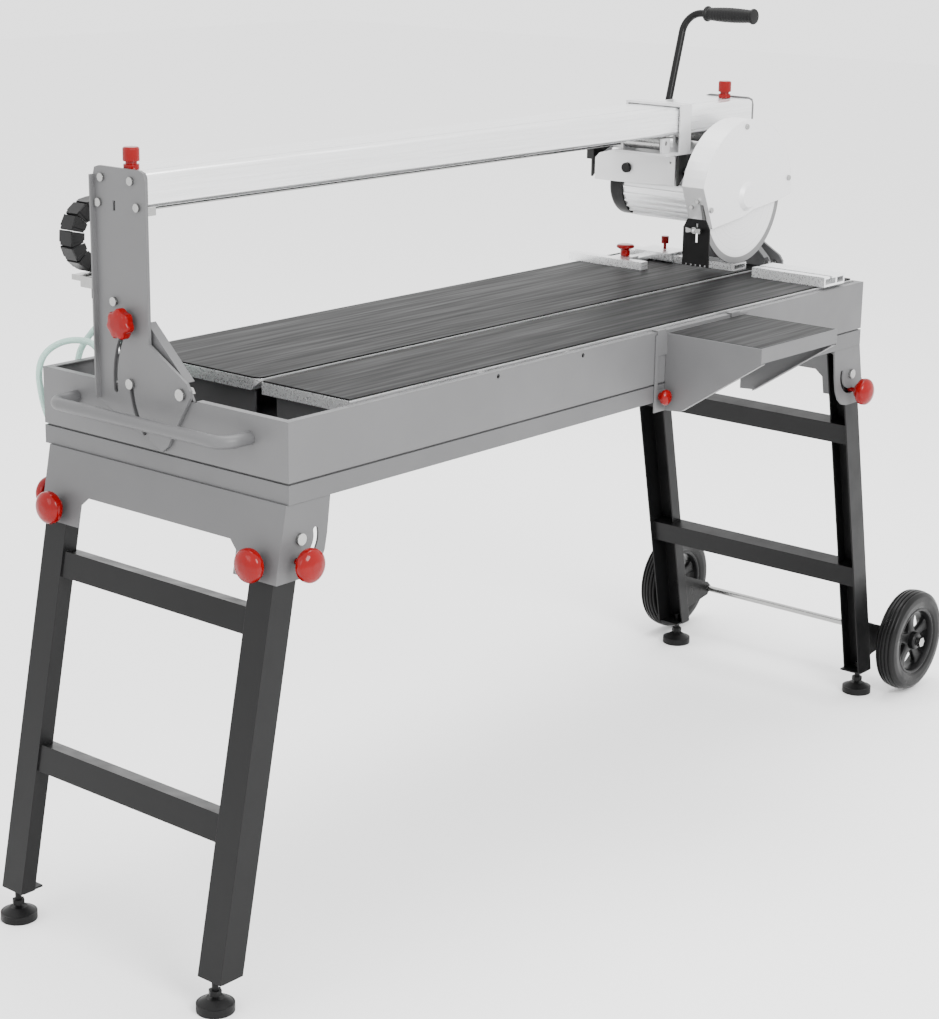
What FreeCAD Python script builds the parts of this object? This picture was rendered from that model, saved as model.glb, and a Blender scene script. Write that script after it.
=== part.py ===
import FreeCAD, Part
import math
import os

# Bridge tile cutter with a folding wheeled stand. Millimetres, +Z up.
# The model is laid out from the tray: X runs along it from the left end to the
# wheeled end, Y from the operator's side to the back, and Z from the floor.
# At the end everything is shifted so that the origin is the bottom centre.

V = FreeCAD.Vector
X_AXIS = V(1, 0, 0)
Y_AXIS = V(0, 1, 0)
Z_AXIS = V(0, 0, 1)

# ---- driving dimensions -------------------------------------------------------
TRAY_L = 1490.0          # water tray, outside
TRAY_W = 513.0
TRAY_TOP = 840.0
TRAY_FLOOR = 756.0
SHEET = 2.0              # tray sheet
RIM = 12.0               # width of the folded rim
BAND_TOP = 751.0         # base frame under the tray
BAND_BOTTOM = 723.0
MID_X = TRAY_L / 2
SPAN = 1504.0            # between the inner faces of the bridge's uprights
SPAN_MID = SPAN / 2

TABLE_TOP = 845.0        # top of the rubber mats
MAT = 2.5
TABLE_BODY = 18.0
TABLE_X0 = 141.0
TABLE_X1 = 1478.0
SLOT_Y0 = 194.0          # the blade slot between the tables
SLOT_Y1 = 208.0

BLADE_R = 125.0          # 250 mm diamond blade
BLADE_T = 2.6
BLADE_Y = 201.0          # blade plane
HUB_X = 1378.0
HUB_Z = 989.0
GUARD_X = 1381.0
GUARD_Z = 980.0
GUARD_R = 148.0
GUARD_Y0 = 188.0
GUARD_Y1 = 236.0

RAIL_Y0 = 270.0          # bridge rail
RAIL_Y1 = 382.0
RAIL_Z0 = 1101.0
RAIL_Z1 = 1150.0
RAIL_WALL = 3.0

TILT_Y = 204.0           # axis of the bevel tilt, along X
TILT_Z = 847.0
UPRIGHT_T = 5.5
UPRIGHT_GAP = 0.5
STUD_R1 = 139.0          # radius of the tilt lock stud from the tilt axis
STUD_A1 = 39.2           # its angle, from +Y towards +Z
STUD_R2 = 105.0
STUD_A2 = -0.5
TILT_TRAVEL = 45.0

PLUNGE_X = 1318.0        # axis of the head's plunge, along Y
PLUNGE_Z = 1030.0
MOTOR_R = 60.0
MOTOR_Y0 = 250.0
MOTOR_Y1 = 430.0
CAP_Y1 = 462.0

CHAIN_Y0 = 408.0         # cable carrier
CHAIN_W = 30.0
CHAIN_H = 25.0
CHAIN_TOP = 1099.0
CHAIN_R = 55.0           # outer radius of its loop
CHAIN_X = 31.0           # centre of its loop
CHAIN_END = 1294.0

SPLAY = 11.3             # lean of the legs, degrees
LEG_Y = 33.0             # centre of the front legs; the back ones mirror in STAND_MID_Y
STAND_MID_Y = 251.0
LEG_W = 46.0
LEG_D = 44.0             # depth of a leg's outer flange
LEG_D2 = 26.0            # depth of its inner flange
LEG_T = 2.5
BAR_D = 35.0             # depth of the crossbars
LEG_END = -687.0         # lower end of a leg, along it from the band
PIVOT_X = 23.0           # leg fold pivots
PIVOT_Z = 671.0
LOCK_X = 16.0            # side lock screws, in the arc slots
LOCK_Z = 640.0
LOCK_R = 25.0            # their round knobs
LOCK_H = 22.0
FOOT_X = -122.0
LEG_YS = (LEG_Y, 2 * STAND_MID_Y - LEG_Y)
FOOT_R = 28.0
WHEEL_X = 1690.0
WHEEL_Z = 104.0
WHEEL_R = 100.0
WHEEL_W = 42.0
WHEEL_Y = -32.0          # middle of the front wheel
AXLE_R = 6.0

SIDE_X0 = 872.0          # side table
SIDE_X1 = 1098.0
SIDE_Y = -186.0
SIDE_TOP = 835.0

HOSE_R = 5.0             # pump hose

# The hose leaves the pump, hangs in a loop over the tray's back left corner, and
# climbs to the barb on the tilt bracket.
HOSE_ROUTE = [
    (60, 440, 804), (60, 440, 874), (48, 516, 876), (8, 538, 846), (20, 541, 768), (44, 542, 726),
    (92, 542, 726), (112, 541, 772), (78, 537, 832), (96, 506, 888), (92, 430, 930), (30, 372, 930),
    (14, 346, 895),
]

nodes = {}


# ---- helpers ------------------------------------------------------------------
def box(x0, y0, z0, x1, y1, z1):
    return Part.makeBox(x1 - x0, y1 - y0, z1 - z0, V(x0, y0, z0))


def rod(start, end, radius):
    """Round bar between two points."""
    a = V(*start)
    line = V(*end) - a
    return Part.makeCylinder(radius, line.Length, a, line)


def ring(centre, axis, outer, inner, length):
    """Round tube from its centre point along an axis."""
    return Part.makeCylinder(outer, length, V(*centre), axis).cut(
        Part.makeCylinder(inner, length, V(*centre), axis))


def hexagon(centre, axis, across_flats, length):
    """Hexagonal prism from its centre point along an axis."""
    side = X_AXIS if abs(axis.dot(X_AXIS)) < 0.5 else Y_AXIS
    other = axis.cross(side)
    radius = across_flats / math.sqrt(3)
    corners = []
    for k in range(7):
        turn = math.radians(60 * k)
        corners.append(V(*centre) + side * (radius * math.cos(turn)) + other * (radius * math.sin(turn)))
    return Part.Face(Part.makePolygon(corners)).extrude(axis * length)


def plate_x(outline, x0, thickness):
    """Flat plate in the YZ plane from its outline."""
    corners = [V(x0, y, z) for y, z in outline]
    return Part.Face(Part.makePolygon(corners + corners[:1])).extrude(V(thickness, 0, 0))


def plate_y(outline, y0, thickness):
    """Flat plate in the XZ plane from its outline."""
    corners = [V(x, y0, z) for x, z in outline]
    return Part.Face(Part.makePolygon(corners + corners[:1])).extrude(V(0, thickness, 0))


def arc_slot(centre, radius, start, end, half, axis_index, low, depth):
    """Cutter for an arc slot. Angles run from the first plane axis to the second."""
    def point(r, angle):
        a = centre[0] + r * math.cos(math.radians(angle))
        b = centre[1] + r * math.sin(math.radians(angle))
        return V(low, a, b) if axis_index == 0 else V(a, low, b)

    mid = (start + end) / 2
    edges = [
        Part.Arc(point(radius - half, start), point(radius - half, mid), point(radius - half, end)).toShape(),
        Part.LineSegment(point(radius - half, end), point(radius + half, end)).toShape(),
        Part.Arc(point(radius + half, end), point(radius + half, mid), point(radius + half, start)).toShape(),
        Part.LineSegment(point(radius + half, start), point(radius - half, start)).toShape(),
    ]
    along = X_AXIS if axis_index == 0 else Y_AXIS
    band = Part.Face(Part.Wire(edges)).extrude(along * depth)
    for angle in (start, end):
        band = band.fuse(Part.makeCylinder(half, depth, point(radius, angle), along))
    return band


def fuse(shapes):
    return shapes[0].multiFuse(shapes[1:]).removeSplitter()


def cut(shape, tools):
    return shape.cut(Part.makeCompound(tools))


def group(shapes):
    return Part.makeCompound(shapes)


def other_end(shape):
    """The same piece at the wheeled end of the tray."""
    return shape.mirror(V(MID_X, 0, 0), X_AXIS)


def far_upright(shape):
    """The same piece at the other end of the bridge."""
    return shape.mirror(V(SPAN_MID, 0, 0), X_AXIS)


def other_side(shape):
    """The same piece at the back of the stand."""
    return shape.mirror(V(0, STAND_MID_Y, 0), Y_AXIS)


def rounded(shape, radius, chosen):
    """Rounds the straight edges that the test picks."""
    edges = [e for e in shape.Edges if chosen(e)]
    return shape.makeFillet(radius, edges) if edges else shape


def edge_along(edge, axis):
    if len(edge.Vertexes) < 2:
        return False
    line = edge.Vertexes[1].Point - edge.Vertexes[0].Point
    return line.Length > 0 and abs(line.normalize().dot(axis)) > 0.999


def star_knob(centre, axis, radius, height, stem_r, stem):
    """Six-lobed hand knob. It grows along the axis; its stem runs the other way."""
    side = Z_AXIS if abs(axis.dot(Z_AXIS)) < 0.5 else X_AXIS
    other = axis.cross(side)
    lobe = radius * 0.36
    parts = [Part.makeCylinder(radius * 0.8, height, V(*centre), axis)]
    for k in range(6):
        turn = math.radians(60 * k)
        spot = V(*centre) + (side * math.cos(turn) + other * math.sin(turn)) * (radius - lobe)
        parts.append(Part.makeCylinder(lobe, height, spot, axis))
    parts.append(Part.makeCylinder(stem_r, stem + 1.0, V(*centre) + axis, axis * -1))
    return fuse(parts)


def round_knob(centre, axis, radius, height, neck, stem_r, stem):
    """Round hand knob: a domed cap on a neck, with a screw stem."""
    base = V(*centre)
    cap = Part.makeCylinder(radius, height, base + axis * neck, axis)
    cap = cap.makeFillet(height * 0.3, [e for e in cap.Edges if not edge_along(e, axis)])
    neck_bar = Part.makeCylinder(radius * 0.55, neck + 2.0, base, axis)
    screw = Part.makeCylinder(stem_r, stem + 2.0, base + axis * 2.0, axis * -1)
    return fuse([cap, neck_bar, screw])


# ---- tray and base frame --------------------------------------------------------
def make_tray():
    outer = box(0, 0, TRAY_FLOOR - SHEET, TRAY_L, TRAY_W, TRAY_TOP)
    inner = box(SHEET, SHEET, TRAY_FLOOR, TRAY_L - SHEET, TRAY_W - SHEET, TRAY_TOP - SHEET)
    mouth = box(RIM, RIM, TRAY_TOP - SHEET - 1, TRAY_L - RIM, TRAY_W - RIM, TRAY_TOP + 1)
    notches = [box(-1, 180, TRAY_TOP - 3, RIM + 1, 350, TRAY_TOP + 1)]
    notches.append(other_end(notches[0]))
    drain = rod((MID_X, 400, 740), (MID_X, 400, 770), 12.0)
    side_holes = [rod((x, -1, 832), (x, 4, 832), 3.5) for x in (444.0, 651.0)]
    shell = cut(outer, [inner, mouth, drain] + notches + side_holes)
    supports = []
    for x in (174.0, 745.0, 1372.0):
        foot = box(x - 14, SHEET, TRAY_FLOOR, x + 14, TRAY_W - SHEET, TRAY_FLOOR + SHEET)
        web = box(x - 1.5, SHEET, TRAY_FLOOR, x + 1.5, TRAY_W - SHEET, TABLE_TOP - MAT - TABLE_BODY)
        shelf_top = TABLE_TOP - MAT - TABLE_BODY
        shelf = box(x - 20, SHEET, shelf_top - 3, x + 20, TRAY_W - SHEET, shelf_top)
        supports.append(fuse([foot, web, shelf]).cut(box(x - 25, 195, 770, x + 25, 240, 840)))
    supports = [cut(s, [rod((MID_X, 400, 750), (MID_X, 400, 790), 20.0)]) for s in supports]
    return fuse([shell] + supports)


def make_base_frame():
    def hoop(inset, z0, z1):
        outer = box(0, 0, z0, TRAY_L, TRAY_W, z1)
        return outer.cut(box(inset, inset, z0 - 1, TRAY_L - inset, TRAY_W - inset, z1 + 1))

    cross = [box(x, 2, BAND_BOTTOM, x + 30, TRAY_W - 2, BAND_BOTTOM + 3) for x in (480.0, 980.0)]
    ledge_z = TRAY_FLOOR - SHEET
    ledge = box(4, 4, BAND_TOP - 3, TRAY_L - 4, TRAY_W - 4, ledge_z).cut(
        box(30, 30, BAND_TOP - 4, TRAY_L - 30, TRAY_W - 30, ledge_z + 1))
    wall = hoop(3.0, BAND_BOTTOM, BAND_TOP)
    flange = hoop(30.0, BAND_BOTTOM, BAND_BOTTOM + 3)
    neck = box(2, 2, BAND_TOP - 3, TRAY_L - 2, TRAY_W - 2, BAND_TOP).cut(
        box(10, 10, BAND_TOP - 4, TRAY_L - 10, TRAY_W - 10, BAND_TOP + 1))
    return fuse([wall, flange, neck, ledge] + cross)


def make_tables():
    z0 = TABLE_TOP - MAT - TABLE_BODY
    z1 = TABLE_TOP - MAT
    rear = box(TABLE_X0 + 8, SLOT_Y1, z0, TABLE_X1, 494, z1)
    rear = rounded(rear, 14.0, lambda e: edge_along(e, Z_AXIS) and e.BoundBox.XMax < TABLE_X0 + 20)
    bevel = [(SLOT_Y1, z1 - 2.0), (SLOT_Y1, z0 - 1), (SLOT_Y1 + TABLE_BODY - 1, z0 - 1)]
    rear = cut(rear, [plate_x(bevel, TABLE_X0 - 5, TABLE_X1 - TABLE_X0 + 20)])
    ribs = [box(TABLE_X0 + 40, y, z0 - 1, TABLE_X1 - 40, y + 42, z1 - 4) for y in (240, 290, 340, 390, 440)]
    bolt_room = []
    for y, _, _ in tilt_bolts():
        bolt_room.append(box(TABLE_X1 - 4, y - 11, z0 - 2, TABLE_X1 + 1, y + 11, TABLE_TOP + 1))
    nodes["table_rear"] = cut(rear, ribs + bolt_room)
    front = box(TABLE_X0, 18, z0, TABLE_X1, SLOT_Y0, z1)
    ribs = [box(TABLE_X0 + 40, y, z0 - 1, TABLE_X1 - 40, y + 44, z1 - 4) for y in (30, 82, 134)]
    end_hole = rod((TABLE_X0 - 1, 102, z0 + 8), (TABLE_X0 + 12, 102, z0 + 8), 2.5)
    nodes["table_front"] = cut(front, ribs + [end_hole])
    mat_rear = box(TABLE_X0 + 9, SLOT_Y1 + 1.5, z1, TABLE_X1, 493, TABLE_TOP)
    mat_rear = rounded(mat_rear, 13.0, lambda e: edge_along(e, Z_AXIS) and e.BoundBox.XMax < TABLE_X0 + 20)
    mat_rear = cut(mat_rear, bolt_room)
    mat_front = box(TABLE_X0 + 1, 21, z1, TABLE_X1, SLOT_Y0 - 2.0, TABLE_TOP)
    nodes["table_mats"] = group([mat_rear, mat_front])


def make_carry_handles():
    """Bent tube handles: a base at the wall, a bend, and a run parallel to the wall."""
    y0, y1, z, reach, bend, radius = 74.0, 437.0, 806.0, 50.0, 24.0, 9.5
    points = [
        (0, y0), (bend - reach, y0), (-reach, y0 + bend), (-reach, y1 - bend),
        (bend - reach, y1), (0, y1),
    ]
    first = Part.LineSegment(V(0, y0, z), V(bend - reach, y0, z)).toShape()
    knee = bend * (1 - math.sqrt(0.5))
    arc_a = Part.Arc(V(bend - reach, y0, z), V(knee - reach, y0 + knee, z), V(-reach, y0 + bend, z)).toShape()
    run = Part.LineSegment(V(-reach, points[2][1], z), V(-reach, points[3][1], z)).toShape()
    arc_b = Part.Arc(V(-reach, y1 - bend, z), V(knee - reach, y1 - knee, z), V(bend - reach, y1, z)).toShape()
    last = Part.LineSegment(V(bend - reach, y1, z), V(0, y1, z)).toShape()
    path = Part.Wire([first, arc_a, run, arc_b, last])
    section = Part.Wire([Part.Circle(V(0, y0, z), X_AXIS, radius).toShape()])
    left = path.makePipeShell([section], True, True)
    return group([left, other_end(left)])


def make_tilt_brackets():
    """Fixed plates inside the tray that carry the tilt pivots, with a folded front edge."""
    outline = [
        (190, 758), (190, 838), (204, 862), (283, 937), (298, 952), (326, 952), (340, 938), (340, 758),
    ]
    plate = plate_x(outline, 4.0, 4.0)
    fold = [(204, 862), (283, 937), (285, 935), (206, 860.5)]
    flange = plate_x(fold, 4.0, 16.0)
    foot = box(SHEET, 190, TRAY_FLOOR, 22, 340, 760)
    plate = fuse([plate, flange, foot])
    holes = []
    for y, z, r in tilt_bolts():
        holes.append(rod((0, y, z), (20, y, z), r))
    y, z = tilt_stud()
    holes.append(rod((0, y, z), (20, y, z), 4.0))
    left = cut(plate, holes)
    way = V(*HOSE_ROUTE[-1]) - V(*HOSE_ROUTE[-2])
    barb = Part.makeCylinder(7.0, 20.0, V(*HOSE_ROUTE[-1]), way)
    return group([fuse([left, barb]), other_end(left)])


def tilt_bolts():
    """Y, Z and radius of the tilt pivot and of the second stud."""
    a2 = math.radians(STUD_A2)
    return [
        (TILT_Y, TILT_Z, 5.0),
        (TILT_Y + STUD_R2 * math.cos(a2), TILT_Z + STUD_R2 * math.sin(a2), 4.0),
    ]


def tilt_stud():
    a1 = math.radians(STUD_A1)
    return TILT_Y + STUD_R1 * math.cos(a1), TILT_Z + STUD_R1 * math.sin(a1)


# ---- folding stand --------------------------------------------------------------
def lean(shape):
    """Turns a piece built straight down from the band's end to the legs' lean."""
    return shape.rotate(V(0, 0, BAND_BOTTOM), Y_AXIS, SPLAY)


def ear_outline():
    tan = math.tan(math.radians(SPLAY))
    low = 613.0
    return [
        (-1.5, BAND_BOTTOM), (84, BAND_BOTTOM), (77, 668), (72, 645), (63, 628), (50, 617), (34, low),
        (-1.5 - tan * (BAND_BOTTOM - low), low),
    ]


def make_leg_bracket():
    """Folded apron: an end plate with two ears down the sides."""
    y0, y1 = 2.0, 2 * STAND_MID_Y - 2.0
    depth = 112.0
    notch = [(y0 + 84, -depth - 5), (y0 + 84, -78), (y0 + 98, -65), (y1 - 98, -65), (y1 - 84, -78), (y1 - 84, -depth - 5)]
    end = box(-3, y0, BAND_BOTTOM - depth, 0, y1, BAND_BOTTOM)
    end = end.cut(plate_x([(y, BAND_BOTTOM + z) for y, z in notch], -10, 20))
    end = lean(end)
    ears = [plate_y(ear_outline(), y0, 3.0), plate_y(ear_outline(), y1 - 3.0, 3.0)]
    top = box(-1.5, y0, BAND_BOTTOM - 3, 60, y1, BAND_BOTTOM)
    top = top.cut(box(28, y0 + 40, 700, 80, y1 - 40, 740))
    body = fuse([end, top] + ears)
    radius = math.hypot(LOCK_X - PIVOT_X, LOCK_Z - PIVOT_Z)
    start = math.degrees(math.atan2(LOCK_Z - PIVOT_Z, LOCK_X - PIVOT_X))
    slots = [arc_slot((PIVOT_X, PIVOT_Z), radius, start, 12.0, 4.6, 1, y0 - 5, y1 + 10)]
    slots.append(rod((PIVOT_X, -5, PIVOT_Z), (PIVOT_X, y1 + 5, PIVOT_Z), 5.0))
    return cut(body, slots)


def make_leg_frame():
    """Two channel legs and two box crossbars, welded; the pivot ends are rounded."""
    y0 = LEG_Y - LEG_W / 2
    y1 = y0 + LEG_W
    outer = 0.5
    low = BAND_BOTTOM + LEG_END
    leg = box(outer, y0, low, outer + LEG_D, y1, BAND_BOTTOM - 14)
    hollow = box(outer + LEG_T, y0 + LEG_T, low - 5, outer + LEG_D + 1, y1 - LEG_T, BAND_BOTTOM)
    trim = box(outer + LEG_D2, y1 - LEG_T - 1, low - 5, outer + LEG_D + 1, y1 + 1, BAND_BOTTOM)
    leg = cut(leg, [hollow, trim])
    parts = [leg, other_side(leg)]
    bar0, bar1 = y0 + LEG_T, 2 * STAND_MID_Y - y0 - LEG_T
    for top, height in ((-153.0, 39.0), (-451.0, 41.0)):
        z1 = BAND_BOTTOM + top
        z0 = z1 - height
        bar = box(outer + LEG_T, bar0, z0, outer + BAR_D, bar1, z1)
        inside = box(outer + 2 * LEG_T, bar0 - 1, z0 + LEG_T, outer + BAR_D - LEG_T, bar1 + 1, z1 - LEG_T)
        parts.append(bar.cut(inside))
    frame = lean(fuse(parts))
    # The leg tops are round about the fold pivot, so that they turn inside the apron.
    reach = 31.5
    crown = box(-60, -10, PIVOT_Z, 120, 520, 740)
    crown = crown.cut(rod((PIVOT_X, -20, PIVOT_Z), (PIVOT_X, 530, PIVOT_Z), reach))
    frame = cut(frame, [crown, box(-200, -10, 0, 0, 520, 48)])
    sole_x = outer - math.tan(math.radians(SPLAY)) * (BAND_BOTTOM - 51) + LEG_T
    soles = [box(sole_x, y - 21, 48, sole_x + 40, y + 21, 51) for y in LEG_YS]
    frame = fuse([frame] + soles)
    holes = [rod((PIVOT_X, -5, PIVOT_Z), (PIVOT_X, 510, PIVOT_Z), 5.05)]
    holes += [rod((FOOT_X, y, 40), (FOOT_X, y, 60), 5.1) for y in LEG_YS]
    return cut(frame, holes)


def make_foot(y):
    """Levelling foot: a domed base, a screw and its lock nut."""
    base = Part.makeCylinder(FOOT_R, 12.0, V(FOOT_X, y, 0), Z_AXIS)
    dome = Part.makeCone(FOOT_R - 2, 13.0, 8.0, V(FOOT_X, y, 12), Z_AXIS)
    screw = rod((FOOT_X, y, 15), (FOOT_X, y, 62), 5.0)
    nut = hexagon((FOOT_X, y, 24), Z_AXIS, 17.0, 8.0)
    return fuse([base, dome, screw, nut])


def leg_pair(shape):
    return [shape, other_side(shape)]


def make_stand():
    bracket = make_leg_bracket()
    nodes["leg_brackets"] = group([bracket, other_end(bracket)])
    frame = make_leg_frame()
    nodes["leg_frame_left"] = frame
    right = other_end(frame)
    bolt_holes = []
    for y in LEG_YS:
        for z in (96.0, 134.0):
            bolt_holes.append(rod((1590, y, z), (1635, y, z), 4.0))
    nodes["leg_frame_right"] = cut(right, bolt_holes)
    feet = leg_pair(make_foot(LEG_Y))
    nodes["feet_left"] = group(feet)
    nodes["feet_right"] = group([other_end(f) for f in feet])
    lock = round_knob((LOCK_X, -9, LOCK_Z), Y_AXIS * -1, LOCK_R, LOCK_H, 8.0, 4.0, 18.7)
    nodes["side_locks_left"] = group(leg_pair(lock))
    nodes["side_locks_right"] = group([other_end(k) for k in leg_pair(lock)])
    tan = math.tan(math.radians(SPLAY))
    face_x = -3.2 - tan * (BAND_BOTTOM - 639)
    end_lock = round_knob((face_x - 3.2, LEG_Y + 6, 639), X_AXIS * -1, LOCK_R, LOCK_H, 8.0, 4.0, 1.9)
    end_pair = leg_pair(end_lock)
    nodes["end_locks"] = group(end_pair + [other_end(k) for k in end_pair])


def make_wheels():
    back_y = 2 * STAND_MID_Y - WHEEL_Y
    for name, y in (("wheel_front", WHEEL_Y), ("wheel_back", back_y)):
        half = WHEEL_W / 2
        tyre = Part.makeCylinder(WHEEL_R, WHEEL_W, V(WHEEL_X, y - half, WHEEL_Z), Y_AXIS)
        tyre = tyre.makeFillet(13.0, [e for e in tyre.Edges if not edge_along(e, Y_AXIS)])
        tyre = tyre.cut(rod((WHEEL_X, y - half - 1, WHEEL_Z), (WHEEL_X, y + half + 1, WHEEL_Z), 66.0))
        rim = ring((WHEEL_X, y - 16, WHEEL_Z), Y_AXIS, 66.0, 60.0, 32.0)
        hub = ring((WHEEL_X, y - half, WHEEL_Z), Y_AXIS, 17.0, AXLE_R + 0.1, WHEEL_W)
        spokes = []
        for k in range(5):
            spoke = box(WHEEL_X - 9, y - 8, WHEEL_Z + 14, WHEEL_X + 9, y + 8, WHEEL_Z + 62)
            spokes.append(spoke.rotate(V(WHEEL_X, y, WHEEL_Z), Y_AXIS, 72.0 * k))
        nodes[name] = group([tyre, fuse([rim, hub] + spokes)])
    axle = rod((WHEEL_X, WHEEL_Y - 29, WHEEL_Z), (WHEEL_X, back_y + 29, WHEEL_Z), AXLE_R)
    caps = [hexagon((WHEEL_X, WHEEL_Y - 30, WHEEL_Z), Y_AXIS, 17.0, 7.0)]
    caps.append(hexagon((WHEEL_X, back_y + 23, WHEEL_Z), Y_AXIS, 17.0, 7.0))
    nodes["wheel_axle"] = fuse([axle] + caps)
    tan = math.tan(math.radians(SPLAY))
    brackets = []
    for y in LEG_YS:
        def face(z):
            return TRAY_L + tan * (BAND_BOTTOM - z) - 0.4
        back = [(face(150), 150), (face(78), 78), (face(78) + 4, 78), (face(150) + 4, 150)]
        cheek = [(face(150), 150), (face(78), 78), (WHEEL_X, WHEEL_Z - 14), (WHEEL_X + 14, WHEEL_Z), (WHEEL_X, WHEEL_Z + 14)]
        body = fuse([plate_y(back, y - 21, 42), plate_y(cheek, y - 21, 4), plate_y(cheek, y + 17, 4)])
        bores = [rod((WHEEL_X, y - 30, WHEEL_Z), (WHEEL_X, y + 30, WHEEL_Z), AXLE_R)]
        bores += [rod((1590, y, z), (1635, y, z), 4.0) for z in (96.0, 134.0)]
        brackets.append(cut(body, bores))
        for z in (96.0, 134.0):
            bolt = rod((face(z) - 4, y, z), (face(z) + 4, y, z), 3.9)
            brackets.append(fuse([bolt, hexagon((face(z) + 5, y, z), X_AXIS, 13.0, 5.0)]))
            brackets[-1] = brackets[-1].fuse(rod((face(z), y, z), (face(z) + 6, y, z), 3.9))
    nodes["wheel_brackets"] = group(brackets)


# ---- gantry ---------------------------------------------------------------------
def make_upright():
    outline = [
        (379, 814), (379, 1140), (376, 1150), (367, 1153), (282, 1153), (273, 1150), (270, 1140),
        (270, 908), (194, 864), (187, 854), (187, 843), (229, 776), (234, 766), (246, 757),
    ]
    x0 = -UPRIGHT_GAP - UPRIGHT_T
    plate = plate_x(outline, x0, UPRIGHT_T)
    plate = plate.fuse(box(x0 - 8, 376, 816, x0, 379, 1140))
    slots = [arc_slot((TILT_Y, TILT_Z), STUD_R1, STUD_A1 - TILT_TRAVEL, STUD_A1, 4.5, 0, -20, 40)]
    slots.append(arc_slot((TILT_Y, TILT_Z), STUD_R2, STUD_A2 - TILT_TRAVEL, STUD_A2, 4.5, 0, -20, 40))
    slots.append(rod((-20, TILT_Y, TILT_Z), (20, TILT_Y, TILT_Z), 5.05))
    slots.append(box(-20, 333, 1092, 20, 338, 1106))
    for y, z in rail_screw_spots() + [(339, 962)]:
        slots.append(rod((-20, y, z), (20, y, z), 3.0))
    return cut(plate, slots)


def rail_screw_spots():
    return [(360, 1137), (298, 1137), (367, 1101), (286, 1101)]


RAIL_KNOB_X = (12.0, 1481.0)
RAIL_KNOB_Y = 317.0


def make_rail():
    """Hollow rail with a groove along its top, and an end plate at each end."""
    body = box(0, RAIL_Y0, RAIL_Z0, SPAN, RAIL_Y1, RAIL_Z1)
    body = rounded(body, 8.0, lambda e: edge_along(e, X_AXIS))
    w = RAIL_WALL
    hollow = box(-1, RAIL_Y0 + w, RAIL_Z0 + w, SPAN + 1, RAIL_Y1 - w, RAIL_Z1 - w)
    hollow = rounded(hollow, 5.0, lambda e: edge_along(e, X_AXIS))
    groove = box(-1, RAIL_Y0 + 27, RAIL_Z1 - 1.5, SPAN + 1, RAIL_Y0 + 31, RAIL_Z1 + 1)
    end = box(0, RAIL_Y0 + 6, RAIL_Z0 - 10, 5, RAIL_Y1 - 6, RAIL_Z1 - 1)
    body = fuse([cut(body, [hollow, groove]), end, far_upright(end)])
    holes = []
    for y, z in rail_screw_spots():
        holes.append(rod((-1, y, z), (12, y, z), 3.0))
        holes.append(far_upright(holes[-1]))
    for x in RAIL_KNOB_X:
        holes.append(rod((x, RAIL_KNOB_Y, 1120), (x, RAIL_KNOB_Y, 1160), 4.05))
    return cut(body, holes)


def make_rail_knob(x):
    """Knurled cap and collar on a screw through the rail's top."""
    collar = Part.makeCylinder(11.5, 8.0, V(x, RAIL_KNOB_Y, RAIL_Z1 + 0.5), Z_AXIS)
    neck = Part.makeCylinder(8.5, 6.0, V(x, RAIL_KNOB_Y, RAIL_Z1 + 7), Z_AXIS)
    cap = Part.makeCylinder(12.0, 20.0, V(x, RAIL_KNOB_Y, RAIL_Z1 + 12), Z_AXIS)
    stem = rod((x, RAIL_KNOB_Y, RAIL_Z1 - 20), (x, RAIL_KNOB_Y, RAIL_Z1 + 4), 4.0)
    return fuse([collar, neck, cap, stem])


def make_gantry_fasteners():
    parts = []
    outer = -UPRIGHT_GAP - UPRIGHT_T
    for y, z in rail_screw_spots():
        shank = rod((outer - 0.1, y, z), (9, y, z), 3.0)
        parts.append(fuse([shank, rod((outer - 4, y, z), (outer, y, z), 6.0)]))
    shank = rod((outer - 0.1, 339, 962), (3, 339, 962), 3.0)
    parts.append(fuse([shank, rod((outer - 5, 339, 962), (outer, 339, 962), 6.5)]))
    return group(parts + [far_upright(p) for p in parts])


def make_chain_supports():
    """Steel trough behind the rail, its two arms, and the anchor of the fixed end."""
    y0, y1 = CHAIN_Y0 - 2, CHAIN_Y0 + CHAIN_W + 3
    floor_z = CHAIN_TOP - CHAIN_H - 0.5
    floor = box(90, y0, floor_z - 2, 1480, y1, floor_z)
    wall = box(90, y1 - 2, floor_z - 2, 1480, y1, 1112)
    arms = []
    for x in (92.0, 1456.0):
        ledge = box(x, RAIL_Y1, floor_z - 6, x + 22, y1, floor_z - 2)
        arms.append(fuse([ledge, box(x, RAIL_Y1, floor_z - 6, x + 22, RAIL_Y1 + 4, 1140)]))
    trough = fuse([floor, wall])
    low = CHAIN_TOP - 2 * CHAIN_R
    anchor = fuse([
        box(0, 350, low - 9, 3, 440, low - 1),
        box(0, 352, low - 30, 3, 374, low - 1),
        box(0, CHAIN_Y0, low - 4, 70, CHAIN_Y0 + CHAIN_W, low - 1),
        box(16, CHAIN_Y0 - 4, low - 22, 40, CHAIN_Y0 + CHAIN_W + 2, low - 1),
    ])
    return group([trough, anchor] + arms)


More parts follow.
